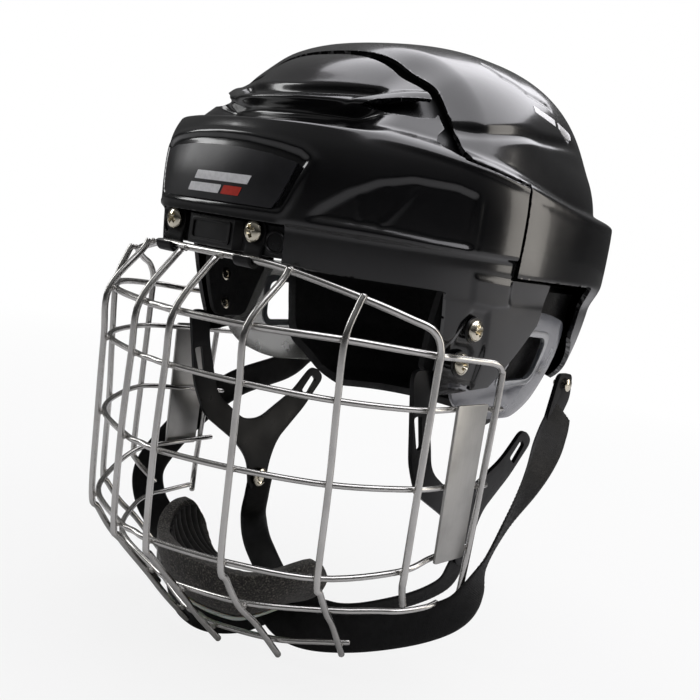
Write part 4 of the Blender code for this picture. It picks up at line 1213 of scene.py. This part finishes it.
def even_path(points, leans, step):
    """A path sampled at even steps with the strap's width and face directions.

    A lean is the angle in degrees by which the face turns away from the front left.
    """
    centres = np.array([tuple(p) for p in spline_points(points, 14)])
    turned_by = np.array([p.x for p in spline_points([(lean, 0.0, 0.0) for lean in leans], 14)])
    along = np.concatenate([[0.0], np.cumsum(np.linalg.norm(np.diff(centres, axis=0), axis=1))])
    at = np.linspace(0.0, along[-1], int(along[-1] / step) + 1)
    c = np.stack([np.interp(at, along, centres[:, k]) for k in range(3)], axis=1)
    turn = np.radians(np.interp(at, along, turned_by))[:, None]
    tangent = np.gradient(c, axis=0)
    tangent /= np.linalg.norm(tangent, axis=1)[:, None]
    facing = FRONT_LEFT - tangent * (tangent @ np.array(FRONT_LEFT))[:, None]
    facing /= np.linalg.norm(facing, axis=1)[:, None]
    normal = facing * np.cos(turn) + np.cross(tangent, facing) * np.sin(turn)
    return at, c, np.cross(normal, tangent), normal


def webbing(node, body, points, leans, width):
    """Woven strap: a closed band with fine slanting ribs on both faces and soft edges."""
    at, centre, across, normal = even_path(points, leans, 0.5)
    columns = 16
    shares = np.linspace(-1.0, 1.0, columns + 1)
    bm = bmesh.new()
    layer = bm.loops.layers.uv.new("UVMap")
    rings = []
    for s, c, a, n in zip(at, centre, across, normal):
        ring = []
        for face in (1.0, -1.0):
            for share in (shares if face > 0.0 else shares[::-1]):
                w = share * width / 2
                flank = 1.0 - abs(share) ** 12
                rib = RIB_HEIGHT * sin(2 * pi * (s + face * RIB_LEAN * w) / RIB_PITCH)
                rib *= 1.0 - abs(share) ** 6
                height = face * (0.25 + (WEB_WALL / 2 - 0.25) * flank + rib)
                ring.append((bm.verts.new(c + a * w + n * height), s * MM, w * MM))
        rings.append(ring)
    count = len(rings[0])
    for low, high in zip(rings, rings[1:]):
        for k in range(count):
            n = (k + 1) % count
            corners = (low[k], high[k], high[n], low[n])
            face = bm.faces.new([corner[0] for corner in corners])
            for loop, corner in zip(face.loops, corners):
                loop[layer].uv = (corner[1], corner[2])
    for ring, turn in ((rings[0], 1), (rings[-1], -1)):
        bm.faces.new([corner[0] for corner in ring][::turn])
    bmesh.ops.recalc_face_normals(bm, faces=bm.faces)
    finish_mesh(node + "_web", bm, WEBBING, body, "webbing", node, sharp=70.0)


def straps():
    """Cage straps from the rear hooks to the cup, and the helmet's own chin strap."""
    out = SIDE_X + FRAME_RADIUS + WEB_WALL / 2 + 1.2
    side = [(98.6, 184.0, -73.0), (100.5, 176.0, -82.0), (104.0, 164.0, -93.0), (out - 1.0, 146.0, -108.0),
            (out, 126.0, -128.0), (out, 113.0, -146.0), (out + 1.0, 105.0, -158.0), (106.0, 98.0, -170.0)]
    leans = [-35.0, -20.0, -16.0, -40.0, -66.0, -70.0, -40.0, -18.0]
    left = side + [(92.0, 88.0, -180.5), (72.0, 71.0, -189.0), (52.0, 60.0, -194.5), (38.0, 54.0, -193.5),
                   (28.0, 51.0, -187.0)]
    webbing("cage_strap_left", "cage", left, leans + [-4.0, 0.0, 0.0, 10.0, 20.0], WEB_WIDTH)
    right = [(-98.6, 184.0, -73.0), (-100.5, 176.0, -82.0), (-104.0, 164.0, -92.0), (1.0 - out, 128.0, -104.0),
             (-out - 1.0, 100.0, -122.0), (-out - 1.0, 78.0, -142.0), (-out, 67.0, -158.0),
             (-102.5, 66.0, -174.0), (-90.0, 69.0, -187.0), (-74.0, 65.0, -196.5), (-52.0, 54.0, -202.0),
             (-34.0, 44.0, -204.5), (-20.0, 39.0, -205.0), (-5.0, 39.5, -204.0), (10.0, 44.0, -199.0),
             (20.0, 48.0, -192.0)]
    webbing("cage_strap_right", "cage", right, [-25.0] * 7 + [-15.0, -5.0] + [0.0] * 7, WEB_WIDTH)
    inner = [(-71.4, 126.6, -157.0), (-70.6, 125.0, -168.0), (-66.0, 120.5, -181.0), (-44.0, 108.0, -192.0),
             (-14.0, 104.0, -206.0), (20.0, 112.0, -207.0), (50.0, 128.0, -194.0), (66.0, 143.5, -181.0),
             (70.6, 148.0, -168.0), (71.4, 149.6, -157.0)]
    webbing("chin_strap", "chin_strap_body", inner,
            [-30.0, -30.0, -25.0, -10.0, 20.0, 45.0, 50.0, 50.0, 50.0, 50.0], WEB_WIDTH - 2.0)


HOOK_OUTLINE = [(176.0, -52.0), (190.0, -52.0), (192.0, -66.0), (180.0, -86.0), (170.0, -80.0)]
HOOK_HOLE = (184.0, -58.0)
HOOK_HOLE_RADIUS = 1.9


def strap_hooks():
    """Moulded levers that carry the cage straps, each with a hole for its stud."""
    hole = []
    for turn in range(0, 360, 15):
        angle = radians(turn)
        y, z = HOOK_HOLE_RADIUS * cos(angle), HOOK_HOLE_RADIUS * sin(angle)
        hole.append((HOOK_HOLE[0] + y, HOOK_HOLE[1] + z))
    for name, side in SIDES:
        low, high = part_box("strap_hook_" + name)
        middle = abs(high.x + low.x) / 2 / MM
        hook = plate_mesh([rounded(HOOK_OUTLINE, 4.0), hole], 2.4, 0.4, 3)
        stand_up(hook, side, lambda y, z: np.full(np.shape(y), middle))
        skin("strap_hook_" + name, hook, CHARCOAL, "cage", "charcoal_plastic")


# ---------------------------------------------------------------- stage
CAMERA_PLACE = (330.386, -271.461, 5.404)
CAMERA_AZIMUTH = 40.79
CAMERA_RISE = 7.27
CAMERA_ROLL = -9.10
FOCAL_SHARE = 9.0 / 7.0
SENSOR = 36.0


def camera():
    """The viewpoint, from the front left and slightly rolled."""
    a, e, roll = radians(CAMERA_AZIMUTH), radians(CAMERA_RISE), radians(CAMERA_ROLL)
    back = Vector((sin(a) * cos(e), -cos(a) * cos(e), sin(e)))
    right = (-back).cross(Vector((0.0, 0.0, 1.0))).normalized()
    down = (-back).cross(right)
    across = right * cos(roll) + down * sin(roll)
    below = down * cos(roll) - right * sin(roll)
    data = bpy.data.cameras.new("camera")
    data.sensor_width = SENSOR
    data.lens = FOCAL_SHARE * SENSOR
    data.clip_start = 0.01
    obj = bpy.data.objects.new("camera", data)
    turn = Matrix((across, -below, back)).transposed().to_4x4()
    obj.matrix_world = Matrix.Translation(Vector(CAMERA_PLACE) * MM) @ turn
    bpy.context.scene.camera = linked(obj)


def area_light(name, place_m, target, size, power, colour=(1.0, 1.0, 1.0)):
    data = bpy.data.lights.new(name, "AREA")
    data.shape = "RECTANGLE"
    data.size, data.size_y = size
    data.energy = power
    data.color = colour
    obj = bpy.data.objects.new(name, data)
    aim = (Vector(target) - Vector(place_m)).normalized()
    obj.matrix_world = Matrix.Translation(Vector(place_m)) @ aim.to_track_quat("-Z", "Y").to_matrix().to_4x4()
    linked(obj)


def pale_floor():
    """A pale floor that fades into the white backdrop away from the object."""
    low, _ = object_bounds()
    bpy.ops.mesh.primitive_plane_add(size=60.0, location=(0.0, 0.0, low.z - 0.0005))
    floor = bpy.context.object
    floor.name = "floor"
    look = Look("pale_floor", (0.5, 0.5, 0.5), 0.6)
    look.vary("Base Color", look.noise(3.0, 2.0), (0.3, 0.48), (0.7, 0.5))
    tree = look.tree
    length = add_node(tree, "VectorMath")
    length.operation = "LENGTH"
    far = add_node(tree, "MapRange", From_Min=0.25, From_Max=1.3, To_Min=0.86)
    seen = add_node(tree, "LightPath")
    both = add_node(tree, "Math")
    both.operation = "MULTIPLY"
    white = add_node(tree, "Emission")
    mix = add_node(tree, "MixShader")
    tree.links.new(look.coordinates(), length.inputs[0])
    tree.links.new(length.outputs["Value"], far.inputs["Value"])
    tree.links.new(far.outputs["Result"], both.inputs[0])
    tree.links.new(seen.outputs["Is Camera Ray"], both.inputs[1])
    tree.links.new(both.outputs["Value"], mix.inputs["Fac"])
    tree.links.new(look.shader.outputs["BSDF"], mix.inputs[1])
    tree.links.new(white.outputs["Emission"], mix.inputs[2])
    tree.links.new(mix.outputs["Shader"], tree.nodes["Material Output"].inputs["Surface"])
    floor.data.materials.append(look.mat)
    floor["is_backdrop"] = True


def backdrop():
    """White where the camera looks straight at it, a dim room with a pale ceiling in reflections."""
    world = bpy.data.worlds.new("studio")
    world.use_nodes = True
    bpy.context.scene.world = world
    tree = world.node_tree
    room = tree.nodes["Background"]
    where = add_node(tree, "TexCoord")
    split = add_node(tree, "SeparateXYZ")
    toward = add_node(tree, "VectorMath")
    toward.operation = "DOT_PRODUCT"
    toward.inputs[1].default_value = FRONT_LEFT
    above = add_node(tree, "MapRange", From_Min=0.05, From_Max=0.8, To_Max=3.6)
    behind = add_node(tree, "MapRange", From_Min=0.35, From_Max=-0.75, To_Min=0.4, To_Max=0.95)
    total = add_node(tree, "Math")
    for index, (source, fade) in enumerate(((split, above), (toward, behind))):
        fade.interpolation_type = "SMOOTHSTEP"
        tree.links.new(where.outputs["Generated"], source.inputs[0])
        tree.links.new(source.outputs["Z" if source == split else "Value"], fade.inputs["Value"])
        tree.links.new(fade.outputs["Result"], total.inputs[index])
    tree.links.new(total.outputs["Value"], room.inputs["Strength"])
    white = add_node(tree, "Background", Color=(1.0, 1.0, 1.0, 1.0))
    seen = add_node(tree, "LightPath")
    mix = add_node(tree, "MixShader")
    tree.links.new(seen.outputs["Is Camera Ray"], mix.inputs["Fac"])
    tree.links.new(room.outputs["Background"], mix.inputs[1])
    tree.links.new(white.outputs["Background"], mix.inputs[2])
    tree.links.new(mix.outputs["Shader"], tree.nodes["World Output"].inputs["Surface"])


def studio():
    """Pale floor and backdrop, a soft overhead light and two narrow side lights."""
    pale_floor()
    backdrop()
    middle = (0.0, 0.11, -0.03)
    area_light("overhead", (0.2, 0.5, 1.25), middle, (2.4, 2.0), 42.0, (0.965, 0.955, 1.0))
    area_light("front_left", (-1.4, -0.7, 0.7), middle, (0.4, 1.0), 7.0)
    area_light("rear_right", (1.1, 1.15, 0.3), middle, (0.5, 0.9), 4.0, (1.0, 0.95, 0.88))
    bpy.context.scene.view_settings.view_transform = "Standard"


outer_shells()
badge()
accents()
forehead_band()
pads()
ear_guards()
temple_pads()
ear_loops()
screws()
round_buttons()
cage_clips()
WIRES = wire_paths()
for wire_name, wire_path, wire_radius in WIRES:
    wire_piece(wire_name, wire_path, wire_radius)
weld_beads(WIRES)
side_plates()
chin_cup()
straps()
strap_hooks()
studio()
camera()
